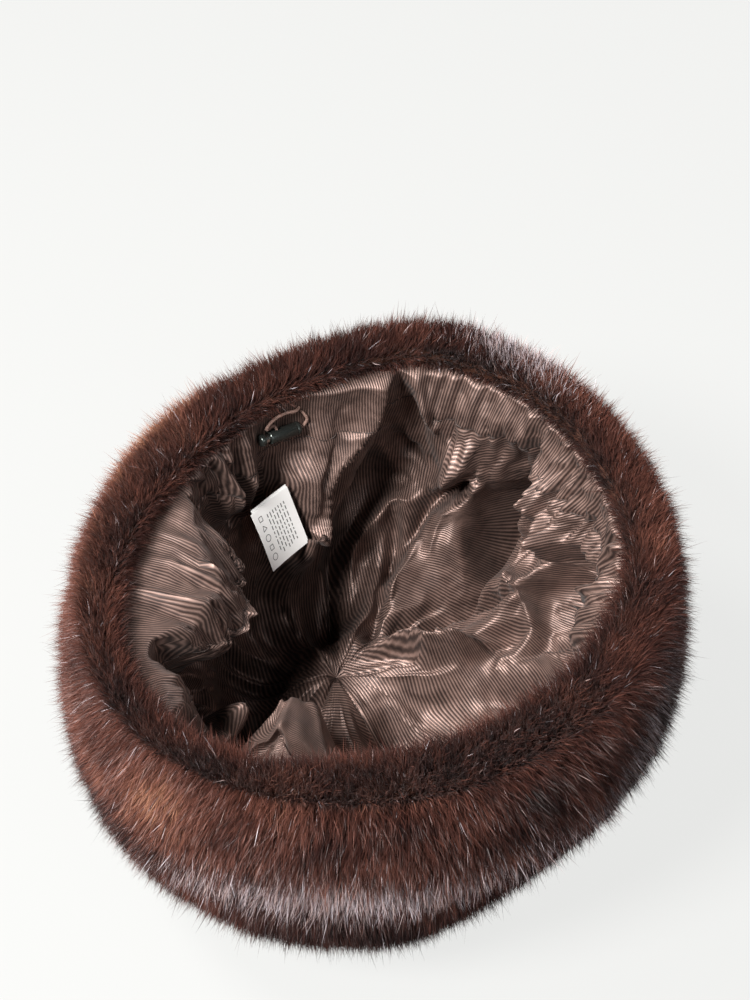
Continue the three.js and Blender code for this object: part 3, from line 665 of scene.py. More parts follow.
def satin_material():
    """Twill ribs, with painted shade in their grooves, run across the cloth's own map, which is in
    millimetres.
    """
    material, shader = new_material("satin_twill", Metallic=0.55, Specular_IOR_Level=0.5, Sheen_Weight=0.03)
    across, _ = own_map(material, "Weave")
    turns = math_node(material, "MULTIPLY", across, 2 * math.pi / TWILL_PITCH)
    rib = math_node(material, "SINE", turns)
    rib = add_node(material, "MapRange", Value=rib, From_Min=-1.0, From_Max=1.0).outputs[0]
    patch = add_node(material, "TexNoise", Scale=28.0, Detail=3.0).outputs[0]
    dull = add_node(material, "TexNoise", Scale=420.0, Detail=2.0).outputs[0]
    halves = [math_node(material, "MULTIPLY", part, 0.5) for part in (rib, patch)]
    groove_shade_and_patches = math_node(material, "ADD", *halves)
    # The ribs' colour is painted shade and light: darker in the twill's grooves, lighter on its ridges, on
    # top of the bump. The patches are tone that differs at random.
    colour = ramp(
        material,
        groove_shade_and_patches,
        [(0.2, (0.024, 0.014, 0.012)), (0.5, (0.090, 0.055, 0.045)), (0.8, (0.225, 0.145, 0.121))],
    )
    link(material, colour, shader.inputs["Base Color"])
    rough = add_node(material, "MapRange", Value=dull, To_Min=0.43, To_Max=0.53).outputs[0]
    link(material, rough, shader.inputs["Roughness"])
    bump = add_node(material, "Bump", Strength=0.55, Distance=0.00022, Height=rib)
    link(material, bump.outputs[0], shader.inputs["Normal"])
    return material


def cord_material():
    material, shader = new_material("braided_cord", Roughness=0.6, Specular_IOR_Level=0.3)
    braid = add_node(material, "TexVoronoi", Scale=1900.0)
    colour = ramp(material, braid.outputs[0], [(0.0, (0.36, 0.23, 0.19)), (0.7, (0.17, 0.10, 0.08))])
    link(material, colour, shader.inputs["Base Color"])
    bump = add_node(material, "Bump", Strength=0.5, Distance=0.0002, Height=braid.outputs[0])
    link(material, bump.outputs[0], shader.inputs["Normal"])
    return material


def painted_material(name, dark, light, rough, metallic, scale=300.0):
    material, shader = new_material(name, Metallic=metallic, Roughness=rough)
    wear = add_node(material, "TexNoise", Scale=scale, Detail=4.0)
    colour = ramp(material, wear.outputs[0], [(0.35, dark), (0.7, light)])
    link(material, colour, shader.inputs["Base Color"])
    spread = add_node(material, "MapRange", Value=wear.outputs[0], To_Min=rough * 0.8, To_Max=rough * 1.3)
    link(material, spread.outputs[0], shader.inputs["Roughness"])
    return material


def label_material():
    material, shader = new_material("label_satin", Roughness=0.42, Specular_IOR_Level=0.45, Sheen_Weight=0.2)
    weave = add_node(material, "TexNoise", Scale=2600.0, Detail=2.0)
    colour = ramp(material, weave.outputs[0], [(0.3, (0.84, 0.835, 0.82)), (0.7, (0.92, 0.915, 0.90))])
    link(material, colour, shader.inputs["Base Color"])
    bump = add_node(material, "Bump", Strength=0.3, Distance=0.0001, Height=weave.outputs[0])
    link(material, bump.outputs[0], shader.inputs["Normal"])
    return material


FUR = fur_material()
SKIN = skin_material()
SATIN = satin_material()
CORD = cord_material()
EYELET_PAINT = painted_material("eyelet_enamel", (0.19, 0.12, 0.1), (0.3, 0.2, 0.165), 0.32, 0.2)
GUNMETAL = painted_material("gunmetal", (0.04, 0.046, 0.043), (0.085, 0.094, 0.088), 0.24, 0.8)
NICKEL = painted_material("nickel", (0.4, 0.4, 0.38), (0.6, 0.6, 0.57), 0.25, 1.0)
LABEL = label_material()
THREAD = painted_material("thread", (0.02, 0.012, 0.01), (0.05, 0.03, 0.025), 0.6, 0.0)
INK, _ = new_material("label_print", Roughness=0.5, Base_Color=(0.06, 0.06, 0.065, 1))


# Fur surface
def fur_point(angle, step):
    height = np.maximum(between(OUTLINE, step, "height"), 0)
    lower = smoothstep(CROWN_FROM, CROWN_FULL, RIM_HEIGHT - height)
    fur = rim(angle, "fur") * (1 - lower) + rim(angle, "crown") * lower
    radius = fur * between(OUTLINE, step, "fur") + rim(angle, "lip") * between(OUTLINE, step, "lip")
    return place(angle, radius + between(OUTLINE, step, "offset"), height)


def fur_frame(angle, step):
    """The outline's point, its outward normal, the way along the outline and the way round."""
    around = unit(fur_point(angle + 0.5, step) - fur_point(angle - 0.5, step))
    after = fur_point(angle, np.minimum(step + 0.05, len(OUTLINE) - 1))
    before = fur_point(angle, np.maximum(step - 0.05, 0))
    down = unit(after - before)
    return fur_point(angle, step), unit(np.cross(down, around)), down, around


def skin_depth(step):
    """How far the skin lies under the outline: little inside the lip, where the fur is short."""
    return SKIN_UNDER_INSIDE + (SKIN_UNDER - SKIN_UNDER_INSIDE) * smoothstep(CREST - 1.6, CREST + 1.2, step)


def fur_skin():
    """The surface that the hairs grow from, under the outline."""
    angles = np.arange(FUR_COLUMNS) * 360 / FUR_COLUMNS
    steps = np.linspace(0, len(OUTLINE) - 1, FUR_ROWS)
    step, angle = np.meshgrid(steps, angles, indexing="ij")
    at, normal, _, _ = fur_frame(angle.ravel(), step.ravel())
    lumps = noise(angle.ravel() / 4, step.ravel() * 3, 90, 5) * SKIN_LUMPS
    points = at - normal * (skin_depth(step.ravel()) - SKIN_LIFT - lumps)[:, None]
    points[:, 2] = np.maximum(points[:, 2], SKIN_LOWEST)
    piece = make_mesh("fur_roots", points, grid_faces(FUR_ROWS, FUR_COLUMNS, True)[:, ::-1])
    piece.data.materials.append(SKIN)
    return ride(piece, "fur", "fur_band", "fur_crown")


def hair_density(angle, step):
    """How thickly hairs are set: more at the lip, and fewer under the crown, where little shows."""
    under = 1 - 0.72 * smoothstep(13, 15.5, step)
    lip = 1 + 0.8 * np.exp(-(((step - CREST + 0.4) / 1.5) ** 2))
    return under * lip


def draw_roots(count, rng):
    """Angles and steps of hair roots, spread evenly over the surface but for the density."""
    rows, columns = 340, 360
    step_edges = np.linspace(0.3, len(OUTLINE) - 1.2, rows + 1)
    step, angle = np.meshgrid((step_edges[1:] + step_edges[:-1]) / 2, np.arange(columns) + 0.5, indexing="ij")
    step, angle = step.ravel(), angle.ravel()
    half = (step_edges[1] - step_edges[0]) / 2
    tall = np.linalg.norm(fur_point(angle, step + half) - fur_point(angle, step - half), axis=1)
    wide = np.linalg.norm(fur_point(angle + 0.5, step) - fur_point(angle - 0.5, step), axis=1)
    share = tall * wide * hair_density(angle, step)
    cell = rng.choice(len(share), count, p=share / share.sum())
    return angle[cell] + rng.uniform(-0.5, 0.5, count), step[cell] + rng.uniform(-half, half, count)


def clump_shift(angle, step, size, seed):
    """How far each root lies from the middle of its clump, round and down, and a number for its clump."""
    wrap = round(2 * math.pi * FUR_RADIUS / size)
    across, up = angle / 360 * wrap, step * STEP_LENGTH / size
    column, row = np.floor(across).astype(int), np.floor(up).astype(int)
    jitter = np.random.default_rng(seed).uniform(0, 1, (wrap, 256, 3))
    best = np.full(len(angle), 1e9)
    shift = np.zeros((len(angle), 2))
    mark = np.zeros(len(angle))
    for i in (-1, 0, 1):
        for j in (-1, 0, 1):
            cell = jitter[(column + i) % wrap, (row + j) % 256]
            away = np.stack([column + i + cell[:, 0] - across, row + j + cell[:, 1] - up], -1)
            far = (away**2).sum(1)
            nearer = far < best
            best = np.where(nearer, far, best)
            shift[nearer] = away[nearer]
            mark[nearer] = cell[nearer, 2]
    return shift * size, mark


def hair_tone(angle, step, mark, rng):
    """The tone of each hair, which its clump and its place decide, but for a little chance.

    Some places get painted light, painted shade or painted sheen.
    """
    tone = MEAN_TONE + 0.13 * noise(angle / 12, step * 0.8, 30, 21)
    tone = tone + 0.08 * noise(angle / 4, step * 2.2, 90, 22)
    tone = tone + 0.16 * (mark - 0.5) + rng.normal(0, 0.055, len(angle))
    # Golden and dark back patches are the fur's own colour; the others are painted light and painted shade
    for patch in TONE_PATCHES_AND_PAINTED_LIGHT.values():
        across = turn_between(angle, patch["at"]) / patch["wide"]
        along = (step - patch["step"]) / patch["high"]
        tone = tone + patch["tone"] * np.exp(-(across**2) - along**2)
    # Painted shade: hairs on the inner side of the lip, beside the lining, are darkened
    inside = 1 - smoothstep(CREST - 2, CREST + 1.4, step)
    tone = tone - CROWN_DARKER * smoothstep(7, 10, step) - LIP_PAINTED_SHADE * inside
    tone = np.clip(tone, DARKEST, GOLDEN)
    # Painted sheen: hairs in the low front band and in the back patch turn grey; stray grey hairs are the
    # fur's own
    turned, steps, shares = ([row[key] for row in PAINTED_SHEEN_BAND] for key in ("angle", "step", "share"))
    at = np.mod(angle, 360)
    off = (step - np.interp(at, turned, steps)) / PAINTED_SHEEN_HALF_WIDTH
    painted_sheen = np.interp(at, turned, shares, 0, 0) * np.exp(-(off**2))
    across = turn_between(angle, PAINTED_SHEEN_PATCH["at"]) / PAINTED_SHEEN_PATCH["wide"]
    along = (step - PAINTED_SHEEN_PATCH["step"]) / PAINTED_SHEEN_PATCH["high"]
    painted_sheen = painted_sheen + PAINTED_SHEEN_PATCH["share"] * np.exp(-(across**2) - along**2)
    grey_hair_or_sheen = rng.uniform(0, 1, len(angle)) < STRAY_SILVER + painted_sheen
    return np.where(grey_hair_or_sheen, rng.uniform(0.88, 1, len(angle)), tone)


def fur_blades(name, count, length, width, lean, clump, steps, seed):
    """One mesh of thin blades. With two steps a blade bends in its middle, and some are longer."""
    rng = np.random.default_rng(seed)
    angle, step = draw_roots(count, rng)
    at, normal, down, around = fur_frame(angle, step)
    shift, mark = clump_shift(angle, step, **CLUMP)
    wide_shift, wide_mark = clump_shift(angle, step, **WIDE_CLUMP)
    comb = np.radians(LAY_TURN * noise(angle / 15, step * 0.7, 24, 33) + rng.normal(0, LAY_SPREAD, count))
    lying = lean * (0.75 + 0.25 * smoothstep(CREST - 0.4, CREST + 2.6, step))
    tilt = np.radians(lying + rng.normal(0, TILT_SPREAD, count))
    inner = 1 - smoothstep(CREST - 2.2, CREST - 0.2, step)
    tilt = tilt + np.radians(TILT_INSIDE) * inner
    lay = down * np.cos(comb)[:, None] + around * np.sin(comb)[:, None]
    way = normal * np.cos(tilt)[:, None] + lay * np.sin(tilt)[:, None]
    long = length * (1 + 0.22 * (wide_mark - 0.5) + rng.normal(0, 0.13, count))
    back = smoothstep(-0.35, 0.35, np.sin(np.radians(angle)))
    long = long * (1 - (0.1 + 0.32 * back) * inner)
    long = np.where(rng.uniform(0, 1, count) < LONG_HAIRS * (steps - 1), long * LONG_HAIR_REACH, long)
    pull = clump * (shift[:, :1] * around + shift[:, 1:] * down)
    pull = pull + WIDE_CLUMP_PULL * (wide_shift[:, :1] * around + wide_shift[:, 1:] * down)
    root = at - normal * skin_depth(step)[:, None]
    bend = lay * (HAIR_BEND * long)[:, None]
    tip = root + way * long[:, None] + pull + bend
    middle = root + way * (0.52 * long)[:, None] + 0.34 * pull
    face = unit(normal + 0.75 * rng.normal(0, 1, (count, 3)))
    side = unit(np.cross(way, face))
    broad = (width * rng.uniform(0.7, 1.25, count))[:, None] / 2
    if steps == 1:
        rings = [root - side * broad, root + side * broad, tip]
        corners = [[0, 1, 2]]
        along = [0, 0, 1]
    else:
        rings = [root - side * broad, root + side * broad, middle - side * broad, middle + side * broad, tip]
        corners = [[0, 1, 3], [0, 3, 2], [2, 3, 4]]
        along = [0, 0, 0.5, 0.5, 1]
    points = np.stack(rings, 1).reshape(-1, 3)
    over = np.maximum(points[:, 2] - HAIR_TOP, 0)
    height = points[:, 2] - over + HAIR_TOP_ROOM * np.tanh(over / HAIR_TOP_ROOM / 2)
    points[:, 2] = np.maximum(height, HAIR_LOWEST)
    each = len(rings)
    faces = (np.arange(count)[:, None, None] * each + np.array(corners)[None]).reshape(-1, 3)
    tone = hair_tone(angle, step, mark, rng)
    uv = np.stack([np.repeat(tone, each), np.tile(along, count)], -1)
    piece = make_mesh(name, points, faces, uv * 0.98 + 0.01, smooth=False)
    piece.data.materials.append(FUR)
    return ride(piece, "fur")


# Lining surface
def lining_base(angle, depth):
    depths = [row["depth"] for row in LINING_ROWS]
    step = np.interp(depth, depths, np.arange(len(depths)))
    radius = rim(angle, "lip") * between(LINING_ROWS, step, "share")
    drift = np.maximum((depth - DRIFT_FROM) / (1 - DRIFT_FROM), 0) ** DRIFT_POWER
    at = place(angle, radius, between(LINING_ROWS, step, "height"))
    at[..., 0] += LINING_CENTRE[0] * drift
    at[..., 1] += LINING_CENTRE[1] * drift
    return at


def lining_normal(angle, depth):
    across = lining_base(angle + 1, depth) - lining_base(angle - 1, depth)
    below = lining_base(angle, np.minimum(depth + 0.01, LINING_ROWS[-1]["depth"]))
    above = lining_base(angle, np.maximum(depth - 0.01, LINING_TOP))
    return unit(np.cross(across, below - above))


def fold_rise(angle, depth):
    rise = np.zeros_like(angle)
    for fold in FOLDS.values():
        start, end = fold["depth"]
        along = np.clip((depth - start) / (end - start), 0, 1)
        middle = fold["at"][0] + turn_between(fold["at"][1], fold["at"][0]) * along
        across = turn_between(angle, middle)
        side = [np.interp(along, (0, 1), fold[key]) for key in ("before", "after")]
        wide = np.where(across < 0, *side)
        high = np.interp(along, (0, 1), fold["rise"])
        past = np.maximum(np.maximum(start - depth, depth - end), 0) / FOLD_FADE
        rise += high * np.exp(-(np.abs(across / wide) ** fold["power"]) - past**2)
    return rise * smoothstep(-0.265, -0.225, depth) * (1 - smoothstep(0.86, 0.99, depth))


def crease_rise(points, normals, crease):
    """A ridge or valley along a run of points, with its own width on each side."""
    run = np.array(crease["run"], float)
    run[:, 0] = run[0, 0] + np.cumsum(np.append(0, turn_between(run[1:, 0], run[:-1, 0])))
    share = np.linspace(0, len(run) - 1, 36)
    angle = np.interp(share, np.arange(len(run)), run[:, 0])
    depth = np.interp(share, np.arange(len(run)), run[:, 1])
    line = lining_base(angle, depth)
    way = unit(np.gradient(line, axis=0))
    gaps = points[:, None, :] - line[None]
    nearest = np.argmin((gaps**2).sum(-1), 1)
    gap = points - line[nearest]
    side = np.einsum("ij,ij->i", np.cross(way[nearest], gap), normals)
    far = np.linalg.norm(gap, axis=1)
    wide = CREASE_SPREAD * np.where(side > 0, crease["left"], crease["right"])
    taper = 0.35 + 0.65 * np.sin(np.pi * np.clip(share[nearest] / share[-1], 0.03, 0.97)) ** 0.6
    return CREASE_HEIGHT * crease["rise"] * taper * np.exp(-((far / wide) ** 2))


def gathering(angle):
    """How strongly the lining is gathered: not beside the cord lock."""
    share = np.interp(np.mod(angle, 360), list(GATHERS), list(GATHERS.values()))
    return share * (0.85 + 0.3 * noise(angle / 18, 0 * angle, 20, 41))


def gather_rise(angle, depth):
    """Puffs that the drawcord pinches, small in the casing and joined into fewer folds below it."""
    wander = 0.9 * noise(angle / 10, depth * 3, 36, 42) + 0.35 * noise(angle / 3, depth * 7, 120, 43)
    fine = np.abs(np.sin(np.pi * (angle / 360 * PUFFS + wander))) ** 0.65
    coarse = np.abs(np.sin(np.pi * (angle / 360 * PUFFS / 3 + 0.6 * wander + 0.2))) ** 0.7
    casing = 1 - smoothstep(-0.05, 0.16 + 0.08 * noise(angle / 9, 0 * angle, 40, 44), depth)
    below = smoothstep(-0.22, 0.02, depth) * (1 - smoothstep(0.1, 0.42, depth))
    size = 0.65 + 0.5 * noise(angle / 6, depth * 5, 60, 45)
    pinch = np.exp(-(((depth - CHANNEL_DEPTH) / CHANNEL_HALF_WIDTH) ** 2))
    puffs = PUFF_RISE * casing * size * (fine - 0.35) + 1.5 * PUFF_RISE * below * (coarse - 0.5) * size
    crumple = 1 - np.abs(noise(angle / 2.4, depth * 9 + angle / 9, 150, 50)) * 2
    ruffle = RUFFLE_RISE * crumple * (1 - smoothstep(0.05, 0.3, depth)) * smoothstep(-0.26, -0.2, depth)
    return gathering(angle) * (puffs + ruffle - 1.1 * pinch) - 0.35 * pinch


def seam_rise(angle, depth):
    rise = np.zeros_like(angle)
    for seam in SEAM_ANGLES:
        turn = turn_between(angle, seam + 3 * np.sin(depth * 4))
        away = turn * np.radians(1) * LINING_RADIUS * (1.02 - 0.9 * np.maximum(depth, 0) ** 2)
        pucker = 1 + 0.7 * noise(0 * angle + seam, depth * 60, 360, 46)
        rise -= SEAM_PUCKER * pucker * np.exp(-((away / SEAM_HALF_WIDTH) ** 2))
    return rise * smoothstep(-0.05, 0.05, depth)


def lining_grid(lines, columns):
    depth_line = np.linspace(LINING_TOP, LINING_END, lines)
    angle_line = np.arange(columns) * 360 / columns
    depth, angle = np.meshgrid(depth_line, angle_line, indexing="ij")
    return angle.ravel(), depth.ravel()


def lining_points(angle, depth):
    base, normal = lining_base(angle, depth), lining_normal(angle, depth)
    rise = fold_rise(angle, depth)
    for crease in CREASES.values():
        rise = rise + crease_rise(base, normal, crease) * (1 - smoothstep(0.9, 0.985, depth))
    soft = SOFT_RISE * noise(angle / 15, depth * 5, 24, 51)
    soft = soft + SOFT_FINE_RISE * noise(angle / 8, depth * 9, 45, 47)
    warp = angle + 9 * noise(angle / 12, depth * 5, 30, 52)
    soft = soft + RUMPLE_RISE * (1 - 2.4 * np.abs(noise(warp / 12, depth * 4.5, 30, 53)))
    rise = rise + soft * smoothstep(0, 0.2, depth) * (1 - smoothstep(0.85, 0.98, depth))
    rise = rise + gather_rise(angle, depth) + seam_rise(angle, depth)
    tuck = EDGE_TUCK * (1 - smoothstep(LINING_TOP, LINING_TOP + 0.03, depth))
    points = base + normal * (rise - tuck - INNER_FACE * (1 - smoothstep(-0.1, 0.1, depth)))[:, None]
    edge = gathering(angle) * np.exp(-(((depth - LINING_TOP) / 0.05) ** 2))
    points[:, 2] += EDGE_WAVE * edge * noise(angle / 3.6, 0 * angle, 100, 49)
    points[:, 2] += ledge_wave(angle, depth, rise)
    return points


def ledge_wave(angle, depth, rise):
    """Soft folds across the top of a pouch that stands far into the opening."""
    share = smoothstep(5, 20, rise) * (1 - smoothstep(0, 0.14, depth))
    warp = angle + 5 * noise(angle / 9, rise / 15, 40, 55)
    return share * LEDGE_WAVE * (0.5 - 2.6 * np.abs(noise(warp / 7.2, rise / 30, 50, 54)))


def settled_shift():
    """How the slack cloth wrinkles when it settles.

    A short cloth simulation runs on a coarser grid and is spread to the fine one.
    """
    shift = np.zeros((SETTLE_LINES, SETTLE_COLUMNS, 3))
    angle, depth = lining_grid(SETTLE_LINES, SETTLE_COLUMNS)
    before = lining_points(angle, depth)
    cloth = make_mesh("settling_cloth", before, grid_faces(SETTLE_LINES, SETTLE_COLUMNS, True)[:, ::-1])
    held = cloth.vertex_groups.new(name="held")
    hold = np.maximum(1 - smoothstep(-0.2, -0.02, depth), smoothstep(0.9, 0.98, depth))
    for index, weight in enumerate(np.maximum(hold, SETTLE_HOLD)):
        held.add([index], float(weight), "REPLACE")
    modifier = cloth.modifiers.new("cloth", "CLOTH")
    for key, value in SETTLE_CLOTH.items():
        setattr(modifier.settings, key, value)
    modifier.settings.effector_weights.gravity = SETTLE_GRAVITY
    modifier.point_cache.frame_end = SETTLE_FRAMES
    for step in range(1, SETTLE_FRAMES + 1):
        bpy.context.scene.frame_set(step)
    apply_modifiers(cloth)
    after = np.empty(len(before) * 3, np.float32)
    cloth.data.vertices.foreach_get("co", after)
    moved = after.reshape(-1, 3) * 1000 - before
    far = np.linalg.norm(moved, axis=1, keepdims=True)
    moved = moved * SETTLE_CAP * np.tanh(far / SETTLE_CAP) / np.maximum(far, 1e-6)
    shift = moved.reshape(shift.shape)
    bpy.data.objects.remove(cloth)
    bpy.context.scene.frame_set(1)
    row = np.linspace(0, SETTLE_LINES - 1, LINING_LINES)
    column = np.arange(LINING_COLUMNS) * SETTLE_COLUMNS / LINING_COLUMNS
    upper = np.minimum(np.floor(row).astype(int), SETTLE_LINES - 2)
    left = np.floor(column).astype(int)
    right = (left + 1) % SETTLE_COLUMNS
    down, across = (row - upper)[:, None, None], (column - left)[None, :, None]
    near = shift[upper][:, left] * (1 - across) + shift[upper][:, right] * across
    next_row = shift[upper + 1][:, left] * (1 - across) + shift[upper + 1][:, right] * across
    return (near * (1 - down) + next_row * down).reshape(-1, 3)


def weave_map(angle, depth, face_angle, face_depth):
    """The cloth's own map, in millimetres. Ribs have one slant on each gore and another on the casing."""
    seams = np.array(SEAM_ANGLES)
    gore = np.searchsorted(seams, np.mod(face_angle, 360), side="right") % len(seams)
    middle = seams[gore - 1] + turn_between(seams[gore], seams[gore - 1]) / 2
    in_casing = face_depth < CHANNEL_DEPTH
    level = np.where(in_casing, CHANNEL_DEPTH, GORE_MIDDLE)
    slant = np.radians(np.where(in_casing, CASING_SLANT, np.array(GORE_SLANTS)[gore]))[:, None]
    across = unit(lining_base(middle + 1, level) - lining_base(middle - 1, level))
    down = np.cross(across, lining_normal(middle, level))
    ribs = across * np.cos(slant) + down * np.sin(slant)
    along = down * np.cos(slant) - across * np.sin(slant)
    at = lining_base(angle, depth)
    return np.stack([np.einsum("fcx,fx->fc", at, way) for way in (ribs, along)], -1)


def make_stitches(points):
    """The thread that closes the drawcord's channel: short stitches along one line of the lining's grid."""
    grid = points[: LINING_LINES * LINING_COLUMNS].reshape(LINING_LINES, LINING_COLUMNS, 3)
    row = round((CHANNEL_DEPTH - LINING_TOP) / (LINING_END - LINING_TOP) * (LINING_LINES - 1))
    line = grid[row]
    along = unit(np.roll(line, -1, 0) - np.roll(line, 1, 0))
    out = unit(np.cross(along, grid[row + 1] - grid[row - 1]))
    beside = np.cross(out, along)
    corners, faces = [], []
    for start in range(0, LINING_COLUMNS - STITCH_COLUMNS, STITCH_COLUMNS + 1):
        at = np.arange(start, start + STITCH_COLUMNS + 1)
        arch = STITCH_RISE * np.sin(np.pi * (at - start) / STITCH_COLUMNS)
        middle = line[at] + out[at] * arch[:, None]
        first = len(corners) * 4
        for point, index in zip(middle, at):
            across, over = beside[index] * STITCH_RADIUS, out[index] * STITCH_RADIUS
            corners.append([point - across, point + over, point + across, point - over])
        ring = grid_faces(STITCH_COLUMNS + 1, 4, True)
        faces.append(ring + first)
    piece = make_mesh("channel_stitches", np.array(corners).reshape(-1, 3), np.concatenate(faces))
    piece.data.materials.append(THREAD)
    ride(piece, "satin")


def make_lining():
    angle, depth = lining_grid(LINING_LINES, LINING_COLUMNS)
    points = lining_points(angle, depth) + settled_shift()
    last = points[-LINING_COLUMNS:]
    middle = last.mean(0) - np.array([0, 0, CENTRE_DROP])
    points = np.concatenate([points, *[middle + (last - middle) * share for share in CENTRE_CLOSING]])
    angle = np.concatenate([angle, *[angle[-LINING_COLUMNS:]] * len(CENTRE_CLOSING)])
    depth = np.concatenate([depth, *[depth[-LINING_COLUMNS:]] * len(CENTRE_CLOSING)])
    faces = grid_faces(LINING_LINES + len(CENTRE_CLOSING), LINING_COLUMNS, True)[:, ::-1]
    piece = make_mesh("satin_lining", points, faces)
    corner_angle, corner_depth = angle[faces], depth[faces]
    crosses = corner_angle.max(1, keepdims=True) - corner_angle.min(1, keepdims=True) > 180
    corner_angle = np.where(crosses & (corner_angle < 180), corner_angle + 360, corner_angle)
    round_share = corner_angle / (360 + 360 / LINING_COLUMNS)
    bake = np.stack([round_share, (corner_depth - LINING_TOP) / (1 - LINING_TOP)], -1)
    add_uv(piece.data, "OFBake", bake.reshape(-1, 2))
    weave = weave_map(corner_angle, corner_depth, corner_angle.mean(1), corner_depth.mean(1))
    add_uv(piece.data, "Weave", weave.reshape(-1, 2))
    piece.data.materials.append(SATIN)
    ride(piece, "satin", *[f"lining_gore_{n}" for n in range(1, 7)], "drawcord_casing")
    make_stitches(points)
    return piece


# Tubes and turned parts
def smooth_line(points, each):
    """A Catmull-Rom curve through the points."""
    points = np.asarray(points, float)
    at = np.concatenate([points[:1], points, points[-1:]])
    out = []
    for index in range(len(points) - 1):
        for t in np.arange(each) / each:
            out.append(catmull(*at[index : index + 4], t))
    return np.array([*out, points[-1]])


def tube(name, line, radius, sides, closed=False):
    along = unit(np.roll(line, -1, 0) - np.roll(line, 1, 0) if closed else np.gradient(line, axis=0))
    up = np.array([0.11, 0.06, 0.99])
    side = unit(np.cross(along, up))
    over = np.cross(side, along)
    turn = np.arange(sides) * 2 * math.pi / sides
    ring = np.cos(turn)[None, :, None] * side[:, None] + np.sin(turn)[None, :, None] * over[:, None]
    points = line[:, None] + radius * ring
    if closed:
        points = np.concatenate([points, points[:1]])
    return make_mesh(name, points.reshape(-1, 3), grid_faces(len(points), sides, True)[:, ::-1])


def lock_frame():
    """The middle of the lock's blind end, its axis and the way that its slot goes through it."""
    shift = np.array([*CENTRE, 0])
    start = np.array(LOCK_BLIND_END) + shift
    axis = unit(np.array(LOCK_BUTTON_END) - np.array(LOCK_BLIND_END))
    inward = near_lip(EYELET["angle"], -2, 0) - near_lip(EYELET["angle"], -1, 0)
    through = np.array([0, 0, -1]) + 0.5 * inward
    through = unit(through - axis * (through @ axis))
    return start, axis, through


def turned(name, profile, sides=TURNED_SIDES):
    """A solid turned about the lock's axis from (radius, height) pairs."""
    profile = np.array(profile, float)
    start, axis, through = lock_frame()
    side = np.cross(axis, through)
    turn = np.arange(sides) * 2 * math.pi / sides
    ring = np.cos(turn)[None, :, None] * side + np.sin(turn)[None, :, None] * through
    points = start + profile[:, 0][:, None, None] * ring + profile[:, 1][:, None, None] * axis
    return make_mesh(name, points.reshape(-1, 3), grid_faces(len(profile), sides, True))


def cut_slot(piece, middle, length):
    """Cuts a slot with round ends through a part of the lock."""
    start, axis, through = lock_frame()
    side = np.cross(axis, through)
    half, wide = length / 2 - SLOT["width"] / 2, SLOT["width"] / 2
    turn = np.linspace(0, math.pi, 9)
    outline = [(wide * math.cos(t), half + wide * math.sin(t)) for t in turn]
    outline += [(-x, -y) for x, y in outline]
    outline = np.array(outline)
    ring = start + axis * middle + outline[:, :1] * side + outline[:, 1:] * axis
    rings = [ring + through * far for far in (-SLOT["reach"], SLOT["reach"])]
    count = len(outline)
    points = np.concatenate(rings + [r.mean(0, keepdims=True) for r in rings])
    faces = [[i, (i + 1) % count, count + (i + 1) % count] for i in range(count)]
    faces += [[i, count + (i + 1) % count, count + i] for i in range(count)]
    faces += [[2 * count, (i + 1) % count, i] for i in range(count)]
    faces += [[2 * count + 1, count + i, count + (i + 1) % count] for i in range(count)]
    cutter = make_mesh("slot_cutter", points, faces, smooth=False)
    modifier = piece.modifiers.new("slot", "BOOLEAN")
    modifier.operation = "DIFFERENCE"
    modifier.solver = "EXACT"
    modifier.object = cutter
    apply_modifiers(piece)
    bpy.data.objects.remove(cutter)


def apply_modifiers(piece):
    graph = bpy.context.evaluated_depsgraph_get()
    mesh = bpy.data.meshes.new_from_object(piece.evaluated_get(graph))
    piece.modifiers.clear()
    piece.data = mesh


def sharpen(piece, angle):
    piece.data.set_sharp_from_angle(angle=math.radians(angle))


def bent(points, size):
    """A closed profile with each corner cut by a small bevel."""
    points = np.array(points, float)
    out = []
    for before, here, after in zip(np.roll(points, 1, 0), points, np.roll(points, -1, 0)):
        out.append(here + unit(before - here) * min(size, np.linalg.norm(before - here) / 3))
        out.append(here + unit(after - here) * min(size, np.linalg.norm(after - here) / 3))
    return out


def lock_part(name, profile, slot_middle, slot_length, *materials):
    piece = turned(name, profile)
    cut_slot(piece, slot_middle, slot_length)
    piece.data.materials.clear()
    for material in materials:
        piece.data.materials.append(material)
    return piece


def make_barrel():
    """A tube with a groove round it, closed at one end but for the cord's hole."""
    radius, length = BARREL["radius"], BARREL["length"]
    outer = [
        (BARREL["hole"], 0),
        (radius - 0.7, 0),
        (radius, 0.7),
        (radius, 1.9),
        (radius - 0.16, 2.1),
        (radius - 0.16, 2.5),
        (radius, 2.7),
        (radius, length - 0.5),
        (radius - 0.3, length),
        (BARREL["bore"], length),
        (BARREL["bore"], BARREL["blind"]),
        (BARREL["hole"], BARREL["blind"]),
    ]
    profile = bent(outer, 0.12)
    barrel = lock_part("cord_lock_body", [*profile, profile[0]], SLOT["middle"], SLOT["length"], GUNMETAL)
    sharpen(barrel, METAL_BEND)
    ride(barrel, "lock_metal", "cord_lock_barrel")


